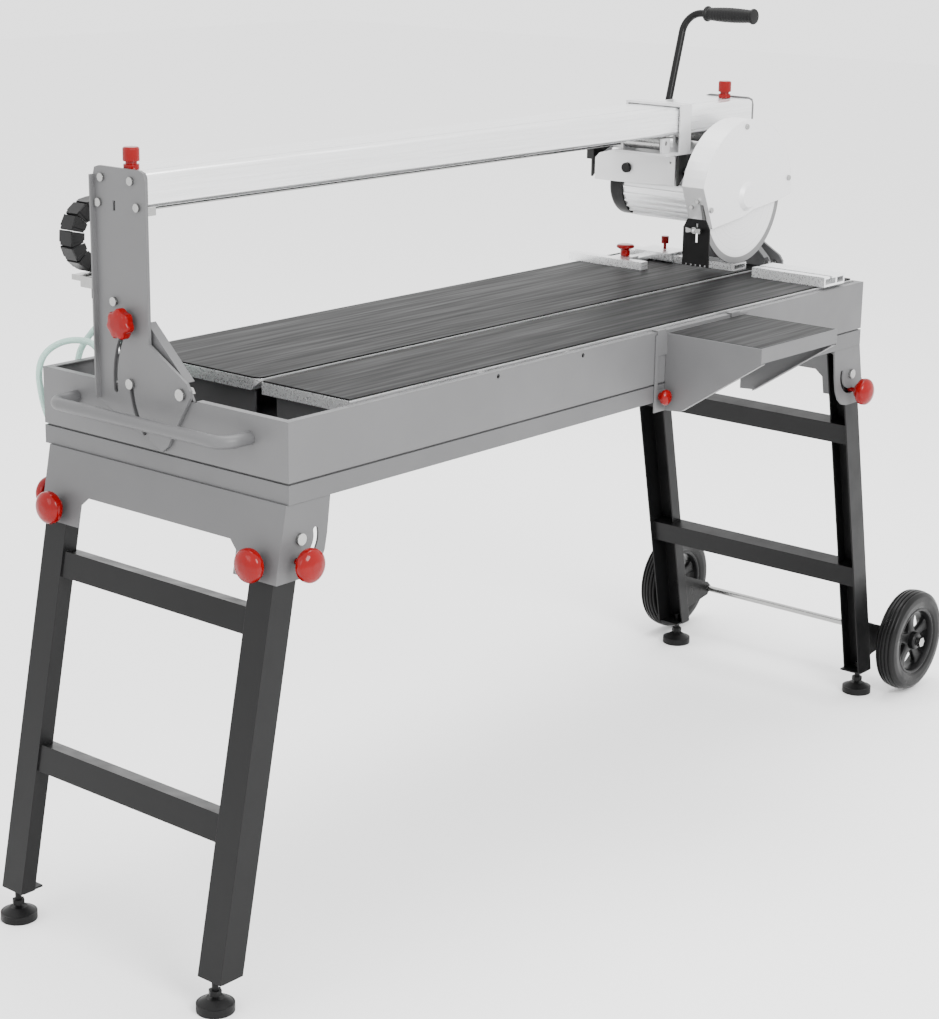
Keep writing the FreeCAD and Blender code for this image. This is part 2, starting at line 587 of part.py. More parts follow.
def make_chain_loop():
    """The loop of the cable carrier: faceted links round half a turn and short tails."""
    x_c = CHAIN_X
    z_c = CHAIN_TOP - CHAIN_R
    inner_r = CHAIN_R - CHAIN_H
    links = 7

    def fan(radius):
        scale = radius / math.cos(math.radians(90.0 / links))
        spots = [(x_c, z_c + radius)]
        for k in range(links):
            angle = math.radians(90 + (k + 0.5) * 180.0 / links)
            spots.append((x_c + scale * math.cos(angle), z_c + scale * math.sin(angle)))
        return spots + [(x_c, z_c - radius)]

    outline = fan(CHAIN_R) + fan(inner_r)[::-1]
    loop = plate_y(outline, CHAIN_Y0, CHAIN_W)
    tail = box(x_c, CHAIN_Y0, z_c - CHAIN_R, x_c + 40, CHAIN_Y0 + CHAIN_W, z_c - inner_r)
    return fuse([loop, tail])


def make_chain_upper():
    return box(CHAIN_X + 0.5, CHAIN_Y0, CHAIN_TOP - CHAIN_H, CHAIN_END, CHAIN_Y0 + CHAIN_W, CHAIN_TOP)


# ---- carriage -------------------------------------------------------------------
CARRIAGE_Z0 = 1066.0
ROLLER_X = (1245.0, 1408.0)
ROLLER_Z = 1087.5
ROLLER_R = 13.0


def make_carriage():
    floor = box(1225, 264, CARRIAGE_Z0, 1426, 378, CARRIAGE_Z0 + 5)
    arm = box(1295, 378, CARRIAGE_Z0, 1346, 490, CARRIAGE_Z0 + 5)
    strap_x0, strap_x1 = 1268.0, 1300.0
    strap = [
        box(strap_x0, 264, CARRIAGE_Z0, strap_x1, 268, 1156),
        box(strap_x0, 264, 1152, strap_x1, 388, 1156),
        box(strap_x0, 384, CARRIAGE_Z0, strap_x1, 388, 1156),
    ]
    chain_arm = [
        box(strap_x0, 387, 1105, strap_x1, CHAIN_Y0 + CHAIN_W - 2, 1108),
        box(CHAIN_END + 0.5, CHAIN_Y0 + 2, 1080, strap_x1, CHAIN_Y0 + CHAIN_W - 2, 1108),
    ]
    cheeks = []
    for x in ROLLER_X:
        for y in (279.0, 366.0):
            cheek = box(x - 12, y, CARRIAGE_Z0 + 4, x + 12, y + 5, ROLLER_Z + 9)
            cheeks.append(cheek)
    body = fuse([floor, arm] + strap + chain_arm + cheeks)
    bores = [rod((x, 270, ROLLER_Z), (x, 380, ROLLER_Z), 4.05) for x in ROLLER_X]
    return [cut(body, bores)] + make_carriage_sides()


def make_carriage_sides():
    """Black side plates hanging from the carriage, which hold the plunge pivot."""
    outline = [
        (1300, 1004), (1300, CARRIAGE_Z0), (1380, CARRIAGE_Z0), (1380, 1057), (1352, 1051),
        (1338, 1039), (1324, 1025), (1312, 1016),
    ]
    plates = [plate_y(outline, y, 5.0) for y in (288.0, 484.0)]
    plates[1] = plates[1].fuse(box(1300, 484, 1036, 1303, 500, 1060))
    bore = rod((PLUNGE_X, 280, PLUNGE_Z), (PLUNGE_X, 500, PLUNGE_Z), 5.0)
    return [cut(p, [bore]) for p in plates]


def make_plunge_pivot():
    """Pivot pin with its heads, and the lift spring coiled round it."""
    pin = rod((PLUNGE_X, 284, PLUNGE_Z), (PLUNGE_X, 493, PLUNGE_Z), 5.0)
    heads = [hexagon((PLUNGE_X, 282, PLUNGE_Z), Y_AXIS, 15.0, 6.0), hexagon((PLUNGE_X, 489, PLUNGE_Z), Y_AXIS, 15.0, 6.0)]
    coils = []
    for k in range(8):
        coils.append(Part.makeTorus(7.6, 1.2, V(PLUNGE_X, 304 + 3.2 * k, PLUNGE_Z), Y_AXIS))
    spine = box(PLUNGE_X - 8.2, 304, PLUNGE_Z - 0.6, PLUNGE_X - 7.0, 326, PLUNGE_Z + 0.6)
    return group([fuse([pin] + heads), fuse(coils + [spine])])


def make_rollers():
    for name, x in zip(("roller_left", "roller_right"), ROLLER_X):
        wheel = rod((x, 285, ROLLER_Z), (x, 365, ROLLER_Z), ROLLER_R)
        pin = rod((x, 279.5, ROLLER_Z), (x, 370.5, ROLLER_Z), 4.0)
        nodes[name] = fuse([wheel, pin])


# ---- cutting head ---------------------------------------------------------------
def guard_outline():
    """Outline of the guard: an arc over the blade, and the sloping lower edge."""
    points = []
    for k in range(25):
        angle = math.radians(166 - k * (166 - 18) / 24)
        points.append((GUARD_X + GUARD_R * math.cos(angle), GUARD_Z + GUARD_R * math.sin(angle)))
    return points + [(1526, 981), (1489, 972), (1400, 962), (1369, 952), (1270, 940)]


def inset_outline(outline, gap):
    """The outline moved inwards by about a gap, towards the guard's centre."""
    moved = []
    for x, z in outline:
        away = V(x - GUARD_X, 0, z - GUARD_Z - 10)
        scale = (away.Length - gap) / away.Length
        moved.append((GUARD_X + away.x * scale, GUARD_Z + 10 + away.z * scale))
    return moved


def make_guard():
    outline = guard_outline()
    shell = plate_y(outline, GUARD_Y0 + 2, GUARD_Y1 - GUARD_Y0 - 2)
    cavity = plate_y(inset_outline(outline, 2.2), GUARD_Y0, GUARD_Y1 - GUARD_Y0 - 2)
    mouth = [(1276, 900), (1276, 945), (1369, 956), (1400, 966), (1489, 976), (1520, 984), (1520, 900)]
    cavity = cavity.fuse(plate_y(mouth, GUARD_Y0, GUARD_Y1 - GUARD_Y0 - 4))
    hub = rod((HUB_X, GUARD_Y1 - 10, HUB_Z), (HUB_X, GUARD_Y1 + 10, HUB_Z), 24.0)
    blade_room = rod((HUB_X, BLADE_Y - 4, HUB_Z), (HUB_X, BLADE_Y + 4, HUB_Z), BLADE_R + 2)
    boss = box(FLAP_X + 3.9, 196, 932, 1277, 228, 955)
    boss = boss.cut(plate_y([(1272, 900), (1272, 937), (1259, 970), (1302, 970), (1302, 900)], 190, 50))
    stud = rod((FLAP_X - 11.5, FLAP_STUD_Y, FLAP_STUD_Z), (FLAP_X + 9, FLAP_STUD_Y, FLAP_STUD_Z), 2.5)
    nodes["guard_shell"] = cut(fuse([shell, boss, stud]), [cavity, hub, blade_room])
    cover = plate_y(outline, GUARD_Y0, 2.0)
    dome = Part.makeCone(20, 30, 8.0, V(HUB_X, GUARD_Y0 - 6, HUB_Z), Y_AXIS)
    dish = Part.makeCone(18.5, 28.5, 8.0, V(HUB_X, GUARD_Y0 - 4, HUB_Z), Y_AXIS)
    nodes["guard_cover"] = fuse([cover, dome]).cut(dish)


FLAP_X = 1252.5
FLAP_STUD_Y = 211.0
FLAP_STUD_Z = 938.0


def make_flap():
    """Rubber splash flap with a notched lower edge, and its wing nut."""
    y0, y1, z0, z1 = 183.0, 240.0, 872.0, 957.0
    outline = [(y0, z0 + 4), (y0, z1 - 16), (y0 + 9, z1), (y1 - 9, z1), (y1, z1 - 16), (y1, z0 + 4)]
    teeth = 6
    step = (y1 - y0) / (2 * teeth - 1)
    for k in range(teeth):
        right = y1 - 2 * k * step
        outline += [(right, z0), (right - step, z0)]
        if k < teeth - 1:
            outline += [(right - step, z0 + 4), (right - 2 * step, z0 + 4)]
    flap = plate_x(outline, FLAP_X, 3.4)
    slot = box(1240, FLAP_STUD_Y - 3, 915, 1260, FLAP_STUD_Y + 3, 950)
    nodes["splash_flap"] = flap.cut(slot)
    base = FLAP_X - 0.5
    core = rod((base, FLAP_STUD_Y, FLAP_STUD_Z), (base - 8, FLAP_STUD_Y, FLAP_STUD_Z), 6.0)
    wings = []
    for side in (-1, 1):
        wing = [(FLAP_STUD_Y + side * 4, FLAP_STUD_Z - 3), (FLAP_STUD_Y + side * 15, FLAP_STUD_Z - 5),
                (FLAP_STUD_Y + side * 16, FLAP_STUD_Z + 5), (FLAP_STUD_Y + side * 4, FLAP_STUD_Z + 3)]
        wings.append(plate_x(wing, base - 11, 7.0))
    bore = rod((1230, FLAP_STUD_Y, FLAP_STUD_Z), (1260, FLAP_STUD_Y, FLAP_STUD_Z), 2.55)
    nodes["wing_nut"] = fuse([core] + wings).cut(bore)


def make_head():
    plate = [(297, 1004), (297, 1058), (440, 1058), (470, 1050), (480, 1040), (480, 1000), (430, 1000)]
    front = plate_x(plate, 1300, 2.0)
    front = cut(front, [rod((1290, 307, 1046), (1310, 307, 1046), 2.0), rod((1290, 405, 1028), (1310, 405, 1028), 9.3)])
    top = box(1345, 297, 1056, 1440, 480, 1058)
    lip = box(1300, 297, 1056, 1346, 306, 1058)
    back_lip = box(1300, 430, 1056, 1346, 440, 1058)
    cheek = [
        (1300, 1004), (1300, 1058), (1440, 1058), (1440, 1052), (1348, 1052), (1334, 1040),
        (1326, 1026), (1312, 1004),
    ]
    cheeks = [plate_y(cheek, 297, 2.0)]
    back_cheek = [(1300, 1004), (1300, 1040), (1350, 1057.5), (1350, 1010)]
    cheeks.append(plate_y(back_cheek, 478, 2.0))
    bore = rod((PLUNGE_X, 290, PLUNGE_Z), (PLUNGE_X, 490, PLUNGE_Z), 5.05)
    nodes["head_bracket"] = cut(fuse([front, top, lip, back_lip] + cheeks), [bore])
    body = Part.makeCylinder(MOTOR_R - 5, MOTOR_Y1 - MOTOR_Y0, V(HUB_X, MOTOR_Y0, HUB_Z), Y_AXIS)
    fins = []
    for k in range(28):
        angle = 360.0 * k / 28
        fin = box(HUB_X - 1.6, MOTOR_Y0 + 14, HUB_Z + MOTOR_R - 8, HUB_X + 1.6, MOTOR_Y1 - 4, HUB_Z + MOTOR_R)
        fins.append(fin.rotate(V(HUB_X, 0, HUB_Z), Y_AXIS, angle))
    foot = box(1350, 300, HUB_Z + MOTOR_R - 8, 1406, 420, 1056)
    neck = Part.makeCylinder(34.0, MOTOR_Y0 - GUARD_Y1, V(HUB_X, GUARD_Y1, HUB_Z), Y_AXIS)
    housing = fuse([body, neck, foot] + fins)
    bore = rod((HUB_X, GUARD_Y1 - 1, HUB_Z), (HUB_X, MOTOR_Y0 + 12, HUB_Z), 12.5)
    cavity = rod((HUB_X, MOTOR_Y0 + 12, HUB_Z), (HUB_X, MOTOR_Y1 + 1, HUB_Z), 46.0)
    nodes["motor_housing"] = cut(housing, [bore, cavity])
    cap = Part.makeCylinder(MOTOR_R - 1, CAP_Y1 - MOTOR_Y1, V(HUB_X, MOTOR_Y1, HUB_Z), Y_AXIS)
    cap = cap.makeFillet(9.0, [e for e in cap.Edges if abs(e.BoundBox.YMin - CAP_Y1) < 0.1 and e.Closed])
    hollow = rod((HUB_X, MOTOR_Y1 - 1, HUB_Z), (HUB_X, CAP_Y1 - 4, HUB_Z), 50.0)
    nodes["motor_end_cap"] = cap.cut(hollow)
    stator = ring((HUB_X, MOTOR_Y0 + 40, HUB_Z), Y_AXIS, 46.0, 30.0, 100.0)
    nodes["motor_stator"] = stator


def make_rotor():
    shaft = rod((HUB_X, 191.5, HUB_Z), (HUB_X, 425, HUB_Z), 10.0)
    core = rod((HUB_X, MOTOR_Y0 + 42, HUB_Z), (HUB_X, MOTOR_Y0 + 138, HUB_Z), 29.0)
    hub = rod((HUB_X, 425, HUB_Z), (HUB_X, 445, HUB_Z), 16.0)
    blades = []
    for k in range(9):
        vane = box(HUB_X - 1.5, 428, HUB_Z + 14, HUB_X + 1.5, 443, HUB_Z + 44)
        blades.append(vane.rotate(V(HUB_X, 0, HUB_Z), Y_AXIS, 40.0 * k))
    nodes["rotor"] = fuse([shaft, core, hub] + blades)
    disc_y = BLADE_Y - BLADE_T / 2
    disc = Part.makeCylinder(BLADE_R, BLADE_T, V(HUB_X, disc_y, HUB_Z), Y_AXIS)
    nodes["blade"] = disc.cut(rod((HUB_X, 190, HUB_Z), (HUB_X, 210, HUB_Z), 10.0))
    inner = ring((HUB_X, disc_y + BLADE_T, HUB_Z), Y_AXIS, 30.0, 10.0, 8.0)
    outer = ring((HUB_X, disc_y - 4, HUB_Z), Y_AXIS, 28.0, 10.0, 4.0)
    nut = hexagon((HUB_X, disc_y - 9.5, HUB_Z), Y_AXIS, 26.0, 5.5)
    nut = nut.cut(rod((HUB_X, 180, HUB_Z), (HUB_X, 210, HUB_Z), 10.0))
    nodes["blade_clamp"] = group([inner, outer, nut])


HANDLE_Y = 397.0


def make_handle():
    """Bent steel bar from the head up behind the rail, and its rubber grip."""
    r = 6.8
    low = V(1389, HANDLE_Y, 1058)
    high = V(1450, HANDLE_Y, 1270)
    up = (high - low).normalize()
    bend_start = V(1450, HANDLE_Y, 1270)
    corner = bend_start + up * 36
    bend_end = corner + V(0, -36, 0)
    first = Part.LineSegment(low, bend_start).toShape()
    centre = bend_start + V(0, -36, 0)
    mid = centre + (corner - centre).normalize() * 36
    arc = Part.Arc(bend_start, mid, bend_end).toShape()
    last_point = V(bend_end.x, 250, bend_end.z)
    last = Part.LineSegment(bend_end, last_point).toShape()
    section = Part.Wire([Part.Circle(low, up, r).toShape()])
    bar = Part.Wire([first, arc, last]).makePipeShell([section], True, True)
    socket = Part.makeCylinder(8.3, 24.0, low, up)
    nodes["handle_rod"] = fuse([bar, socket]).cut(box(1300, 350, 1030, 1450, 450, 1058))
    grip = Part.makeCylinder(14.5, 108.0, V(bend_end.x, 243, bend_end.z), Y_AXIS)
    grip = grip.cut(rod((bend_end.x, 250, bend_end.z), (bend_end.x, 360, bend_end.z), r))
    nodes["handle_grip"] = grip


def make_head_fasteners():
    """Screws on the guard's face and rim, and the arbor cover's screws."""
    parts = []
    for x, z in ((1366, 1116), (1513, 1010), (1262, 975)):
        parts.append(rod((x, GUARD_Y0 - 3, z), (x, GUARD_Y0, z), 5.0))
    for y, z, x in ((206, 990, 1248.5), (222, 978, 1253.6)):
        parts.append(rod((x - 6, y, z), (x - 1.8, y, z), 4.0))
    return group(parts)


def make_switch():
    """Rocker of the motor switch, in the head's front plate."""
    body = rod((1294, 405, 1028), (1303, 405, 1028), 9.0)
    nodes["switch_rocker"] = body


# ---- fence, stop and side table ---------------------------------------------------
STOP_X = 1312.0
STOP_Y = 412.0


def make_fence():
    top = TABLE_TOP
    front = box(1362, 5, top, 1430, 160, top + 18)
    front = cut(front, [
        box(1366, 0, top + 4, 1400, 170, top + 14),
        box(1380, 0, top + 12, 1388, 170, top + 20),
        box(1405, 0, top + 4, 1426, 170, top + 14),
    ])
    rear = box(1388, 218, top, 1430, 480, top + 13)
    rear = cut(rear, [box(1392, 200, top + 3, 1426, 490, top + 10)])
    return group([front, rear])


def make_stop():
    """Angle stop: a bar on a slider that runs along the rear fence."""
    top = TABLE_TOP
    seat = top + 13
    slider = fuse([
        box(1376, 356, seat + 0.3, 1438, 436, seat + 5),
        box(1431, 356, seat - 9, 1438, 436, seat + 5),
        box(1376, 356, seat - 9, 1387, 436, seat + 5),
        box(STOP_X, STOP_Y - 14, seat - 9, 1380, STOP_Y + 14, seat - 3),
        rod((STOP_X, STOP_Y, seat - 9), (STOP_X, STOP_Y, seat - 3), 14.0),
    ])
    pivot_bore = rod((STOP_X, STOP_Y, 840), (STOP_X, STOP_Y, 880), 4.05)
    nodes["stop_slider"] = cut(slider, [rod((1420, 398, 850), (1420, 398, 880), 3.05), pivot_bore])
    arm = fuse([
        box(1290, STOP_Y - 18, seat - 2.6, 1330, STOP_Y + 18, seat + 2),
        box(1272, 345, top + 0.4, 1292, 515, top + 15),
    ])
    nodes["stop_bar"] = arm.cut(pivot_bore)
    nodes["stop_pivot_knob"] = fuse([
        Part.makeCylinder(17.0, 8.0, V(STOP_X, STOP_Y, seat + 16), Z_AXIS),
        Part.makeCone(9.0, 13.0, 14.0, V(STOP_X, STOP_Y, seat + 2.4), Z_AXIS),
        rod((STOP_X, STOP_Y, seat - 8.5), (STOP_X, STOP_Y, seat + 4), 4.0),
    ])
    nodes["stop_slide_knob"] = fuse([
        Part.makeCylinder(7.5, 14.0, V(1420, 398, seat + 15), Z_AXIS),
        rod((1420, 398, seat + 0.5), (1420, 398, seat + 16), 3.0),
    ])


def make_side_table():
    t = 2.0
    x0, x1, y1 = SIDE_X0, SIDE_X1, -0.4
    top = box(x0, SIDE_Y, SIDE_TOP - t, x1, y1, SIDE_TOP)
    lip = box(x0, SIDE_Y, SIDE_TOP - 24, x1, SIDE_Y + t, SIDE_TOP)
    side = [(y1, SIDE_TOP), (SIDE_Y, SIDE_TOP), (SIDE_Y, SIDE_TOP - 26), (-33, 708), (y1, 706)]
    sides = [plate_x(side, x0, t), plate_x(side, x1 - t, t)]
    drop = (708 - (SIDE_TOP - 26)) / (-33 - SIDE_Y)

    def fold(x):
        y_a, y_b = SIDE_Y + 2, -33.0
        z_a = SIDE_TOP - 26 + drop * 2
        strip = [(y_a, z_a), (y_b, 708), (y_b, 708 + t), (y_a, z_a + t)]
        return plate_x(strip, x, 14.0)

    folds = [fold(x0), fold(x1 - 14)]
    wall = [
        box(x0 - 30, y1 - t, 706, x0 + 2, y1, 742),
        box(x0 - 30, y1 - t, 800, x0 + 2, y1, SIDE_TOP),
        box(x0 - 30, y1 - t, 706, x0 - 22, y1, SIDE_TOP),
        box(x1 - 2, y1 - t, 706, x1 + 14, y1, SIDE_TOP),
    ]
    hooks = [
        box(x0 - 26, y1 - t, SIDE_TOP - 4, x0 - 4, y1, TRAY_TOP + 2.5),
        box(x0 - 26, y1 - t, TRAY_TOP + 0.5, x0 - 4, 10, TRAY_TOP + 2.5),
        box(x1 - 40, y1 - t, SIDE_TOP - 4, x1 - 14, y1, TRAY_TOP + 2.5),
        box(x1 - 40, y1 - t, TRAY_TOP + 0.5, x1 - 14, 10, TRAY_TOP + 2.5),
    ]
    body = fuse([top, lip] + sides + folds + wall + hooks)
    nodes["side_table"] = body.cut(rod((x0 - 15, -10, 732), (x0 - 15, 5, 732), 3.05))
    knob = round_knob((x0 - 15, -3.2, 732), Y_AXIS * -1, 13.0, 12.0, 7.0, 3.0, 2.0)
    nodes["side_table_knob"] = knob


# ---- small pieces ---------------------------------------------------------------
def make_frame_fasteners():
    """Tilt pivots and studs, and the bolts of the leg pivots."""
    left = []
    face = -UPRIGHT_GAP - UPRIGHT_T
    for y, z, r in tilt_bolts():
        shank = rod((face - 1, y, z), (14, y, z), r)
        head = rod((face - 5, y, z), (face - 0.4, y, z), r + 3.5)
        left.append(fuse([shank, head, hexagon((8, y, z), X_AXIS, 2 * r + 5, 5.0)]))
    y, z = tilt_stud()
    left.append(fuse([hexagon((8, y, z), X_AXIS, 13, 5.0), rod((0.5, y, z), (12, y, z), 4.0)]))
    # The far upright stands off the tray, so its bolts are longer and carry a spacer.
    extra = SPAN - TRAY_L
    right = []
    for y, z, r in tilt_bolts():
        bolt = other_end(fuse([
            rod((face - extra - 1, y, z), (14, y, z), r),
            rod((face - extra - 5, y, z), (face - extra - 0.4, y, z), r + 3.5),
            hexagon((8, y, z), X_AXIS, 2 * r + 5, 5.0),
            rod((-extra, y, z), (-0.3, y, z), r + 3.0),
        ]))
        right.append(bolt)
    y, z = tilt_stud()
    right.append(other_end(fuse([hexagon((8, y, z), X_AXIS, 13, 5.0), rod((0.5 - extra, y, z), (12, y, z), 4.0)])))
    bolts = []
    for y, way in ((2.0, 1), (2 * STAND_MID_Y - 2.0, -1)):
        shank = rod((PIVOT_X, y - way, PIVOT_Z), (PIVOT_X, y + way * 16, PIVOT_Z), 5.0)
        bolts.append(fuse([shank, rod((PIVOT_X, y - way * 5, PIVOT_Z), (PIVOT_X, y, PIVOT_Z), 8.5)]))
    return group(left + right + bolts + [other_end(b) for b in bolts])


def make_tilt_knobs():
    y, z = tilt_stud()
    knob = star_knob((-12, y, z), X_AXIS * -1, 23.0, 20.0, 4.0, 11.5)
    collar = Part.makeCylinder(11.0, 5.0, V(-7, y, z), X_AXIS * -1)
    knob = fuse([knob, collar])
    nodes["tilt_knob_left"] = knob
    nodes["tilt_knob_right"] = far_upright(knob)


def make_pump():
    """Submersible pump on the tray floor under the open left end."""
    body = box(30, 400, TRAY_FLOOR + 0.2, 90, 470, TRAY_FLOOR + 42)
    body = rounded(body, 6.0, lambda e: edge_along(e, Z_AXIS))
    outlet = rod((60, 440, 795), HOSE_ROUTE[0], 7.0)
    grille = [box(25, y, TRAY_FLOOR + 8, 34, y + 4, TRAY_FLOOR + 36) for y in range(412, 460, 9)]
    return fuse([cut(body, grille), outlet])


def make_drain_plug():
    head = rod((MID_X, 400, BAND_BOTTOM - 4), (MID_X, 400, TRAY_FLOOR - SHEET - 0.5), 17.0)
    stem = rod((MID_X, 400, BAND_BOTTOM), (MID_X, 400, TRAY_FLOOR + 4), 11.9)
    return fuse([head, stem])


def make_gland():
    """Cable gland on the carrier's anchor, where the mains lead enters."""
    low = CHAIN_TOP - 2 * CHAIN_R
    return ring((30, CHAIN_Y0 + 14, low - 22.0), Z_AXIS * -1, 7.0, 3.5, 16.0)


# ---- pump hose ------------------------------------------------------------------
def tangent_path(points):
    """Straight runs joined by arcs, each as large as its two runs allow."""
    spots = [V(*p) for p in points]
    edges = []
    radii = []
    start = spots[0]
    for a, b, c in zip(spots, spots[1:], spots[2:]):
        before = (b - a).normalize()
        after = (c - b).normalize()
        turn = before.getAngle(after)
        trim = 0.45 * min((b - a).Length, (c - b).Length)
        radii.append(trim / math.tan(turn / 2))
        leave = b - before * trim
        join = b + after * trim
        middle = (after - before).normalize()
        centre = b + middle * (radii[-1] / math.cos(turn / 2))
        edges.append(Part.LineSegment(start, leave).toShape())
        edges.append(Part.Arc(leave, centre - middle * radii[-1], join).toShape())
        start = join
    edges.append(Part.LineSegment(start, spots[-1]).toShape())
    return Part.Wire(edges), radii


def make_hose():
    path, radii = tangent_path(HOSE_ROUTE)
    direction = V(*HOSE_ROUTE[1]) - V(*HOSE_ROUTE[0])
    section = Part.Wire([Part.Circle(V(*HOSE_ROUTE[0]), direction, HOSE_R).toShape()])
    tube = path.makePipeShell([section], True, True)
    share = tube.Volume / (math.pi * HOSE_R ** 2 * path.Length)
    print("hose radii", [round(r, 1) for r in radii], "length", round(path.Length, 1), "volume share", round(share, 4))
    return tube


# ---- build and write --------------------------------------------------------------
def build():
    nodes["tray"] = make_tray()
    nodes["base_frame"] = make_base_frame()
    make_tables()
    nodes["carry_handles"] = make_carry_handles()
    nodes["tilt_brackets"] = make_tilt_brackets()
    make_stand()
    make_wheels()
    upright = make_upright()
    nodes["uprights"] = group([upright, far_upright(upright)])
    nodes["rail"] = make_rail()
    nodes["rail_knob_left"] = make_rail_knob(RAIL_KNOB_X[0])
    nodes["rail_knob_right"] = make_rail_knob(RAIL_KNOB_X[1])
    nodes["gantry_fasteners"] = make_gantry_fasteners()
    nodes["chain_supports"] = make_chain_supports()
    nodes["chain_loop"] = make_chain_loop()
    nodes["chain_upper"] = make_chain_upper()
    nodes["carriage_frame"] = group(make_carriage())
    nodes["plunge_pivot"] = make_plunge_pivot()
    make_rollers()
    make_head()
    make_guard()
    make_flap()
    make_rotor()
    make_handle()
    nodes["head_fasteners"] = make_head_fasteners()
    make_switch()
    nodes["fence_rails"] = make_fence()
    make_stop()
    make_side_table()
    nodes["frame_fasteners"] = make_frame_fasteners()
    make_tilt_knobs()
    nodes["pump"] = make_pump()
    nodes["drain_plug"] = make_drain_plug()
    nodes["cable_gland"] = make_gland()
    nodes["pump_hose"] = make_hose()


def write():
    os.makedirs("parts", exist_ok=True)
    solid_box = FreeCAD.BoundBox()
    for name, shape in nodes.items():
        if name != "pump_hose":
            solid_box.add(shape.optimalBoundingBox(False))
    centre = V((solid_box.XMin + solid_box.XMax) / 2, (solid_box.YMin + solid_box.YMax) / 2, solid_box.ZMin)
    print("origin in the tray's layout", [round(c, 4) for c in centre])
    for name, shape in nodes.items():
        placed = shape.copy()
        placed.translate(centre * -1)
        placed.exportStep("parts/" + name + ".step")
    print(len(nodes), "nodes, box", [round(s, 1) for s in (solid_box.XLength, solid_box.YLength, solid_box.ZLength)])


build()
write()
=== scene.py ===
"""Looks of the tile cutter: camera, hose, materials, turned and moulded pieces, floor and light."""

import math

import bpy
import numpy as np
from mathutils import Matrix, Vector


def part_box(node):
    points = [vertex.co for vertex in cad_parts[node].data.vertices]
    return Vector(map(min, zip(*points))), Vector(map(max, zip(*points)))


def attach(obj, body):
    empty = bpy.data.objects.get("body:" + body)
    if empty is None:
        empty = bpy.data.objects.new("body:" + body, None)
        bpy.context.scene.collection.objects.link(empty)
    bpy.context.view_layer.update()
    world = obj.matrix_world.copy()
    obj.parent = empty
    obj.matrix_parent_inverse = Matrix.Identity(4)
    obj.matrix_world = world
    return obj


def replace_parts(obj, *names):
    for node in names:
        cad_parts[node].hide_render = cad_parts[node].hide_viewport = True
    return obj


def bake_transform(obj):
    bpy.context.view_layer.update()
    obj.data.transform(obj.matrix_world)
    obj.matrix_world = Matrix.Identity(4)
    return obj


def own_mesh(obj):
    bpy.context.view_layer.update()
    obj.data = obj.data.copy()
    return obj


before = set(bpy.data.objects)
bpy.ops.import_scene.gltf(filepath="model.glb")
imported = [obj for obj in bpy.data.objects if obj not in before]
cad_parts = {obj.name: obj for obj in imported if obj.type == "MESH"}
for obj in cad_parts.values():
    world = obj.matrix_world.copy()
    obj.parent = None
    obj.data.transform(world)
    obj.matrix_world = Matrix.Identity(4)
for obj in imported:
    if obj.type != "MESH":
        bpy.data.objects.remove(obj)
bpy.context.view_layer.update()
ORIGIN = np.array([0.820, 0.189, 0.0])


def at(x, y, z):
    """A point given in millimetres from the tray's front left corner, in the row frame in metres."""
    return np.array([x, y, z], float) / 1000 - ORIGIN


# ---- camera -------------------------------------------------------------------
AZIMUTH, PITCH, ROLL = (math.radians(v) for v in (-49.93, -15.53, 0.81))
along_floor = math.cos(PITCH)
forward = Vector((
    -math.sin(AZIMUTH) * along_floor, math.cos(AZIMUTH) * along_floor, math.sin(PITCH),
))
right = forward.cross(Vector((0, 0, 1))).normalized()
up = right.cross(forward)
rolled_right = right * math.cos(ROLL) + up * math.sin(ROLL)
rolled_up = up * math.cos(ROLL) - right * math.sin(ROLL)
camera = bpy.data.objects.new("camera", bpy.data.cameras.new("camera"))
bpy.context.scene.collection.objects.link(camera)
turn = Matrix((rolled_right, rolled_up, -forward)).transposed()
camera.matrix_world = Matrix.Translation((-2.9325, -2.3004, 1.5748)) @ turn.to_4x4()
camera.data.sensor_width = 36.0
camera.data.lens = 80.25
camera.data.shift_x = -0.00714
camera.data.shift_y = -0.0179
camera.data.clip_end = 60.0
bpy.context.scene.camera = camera


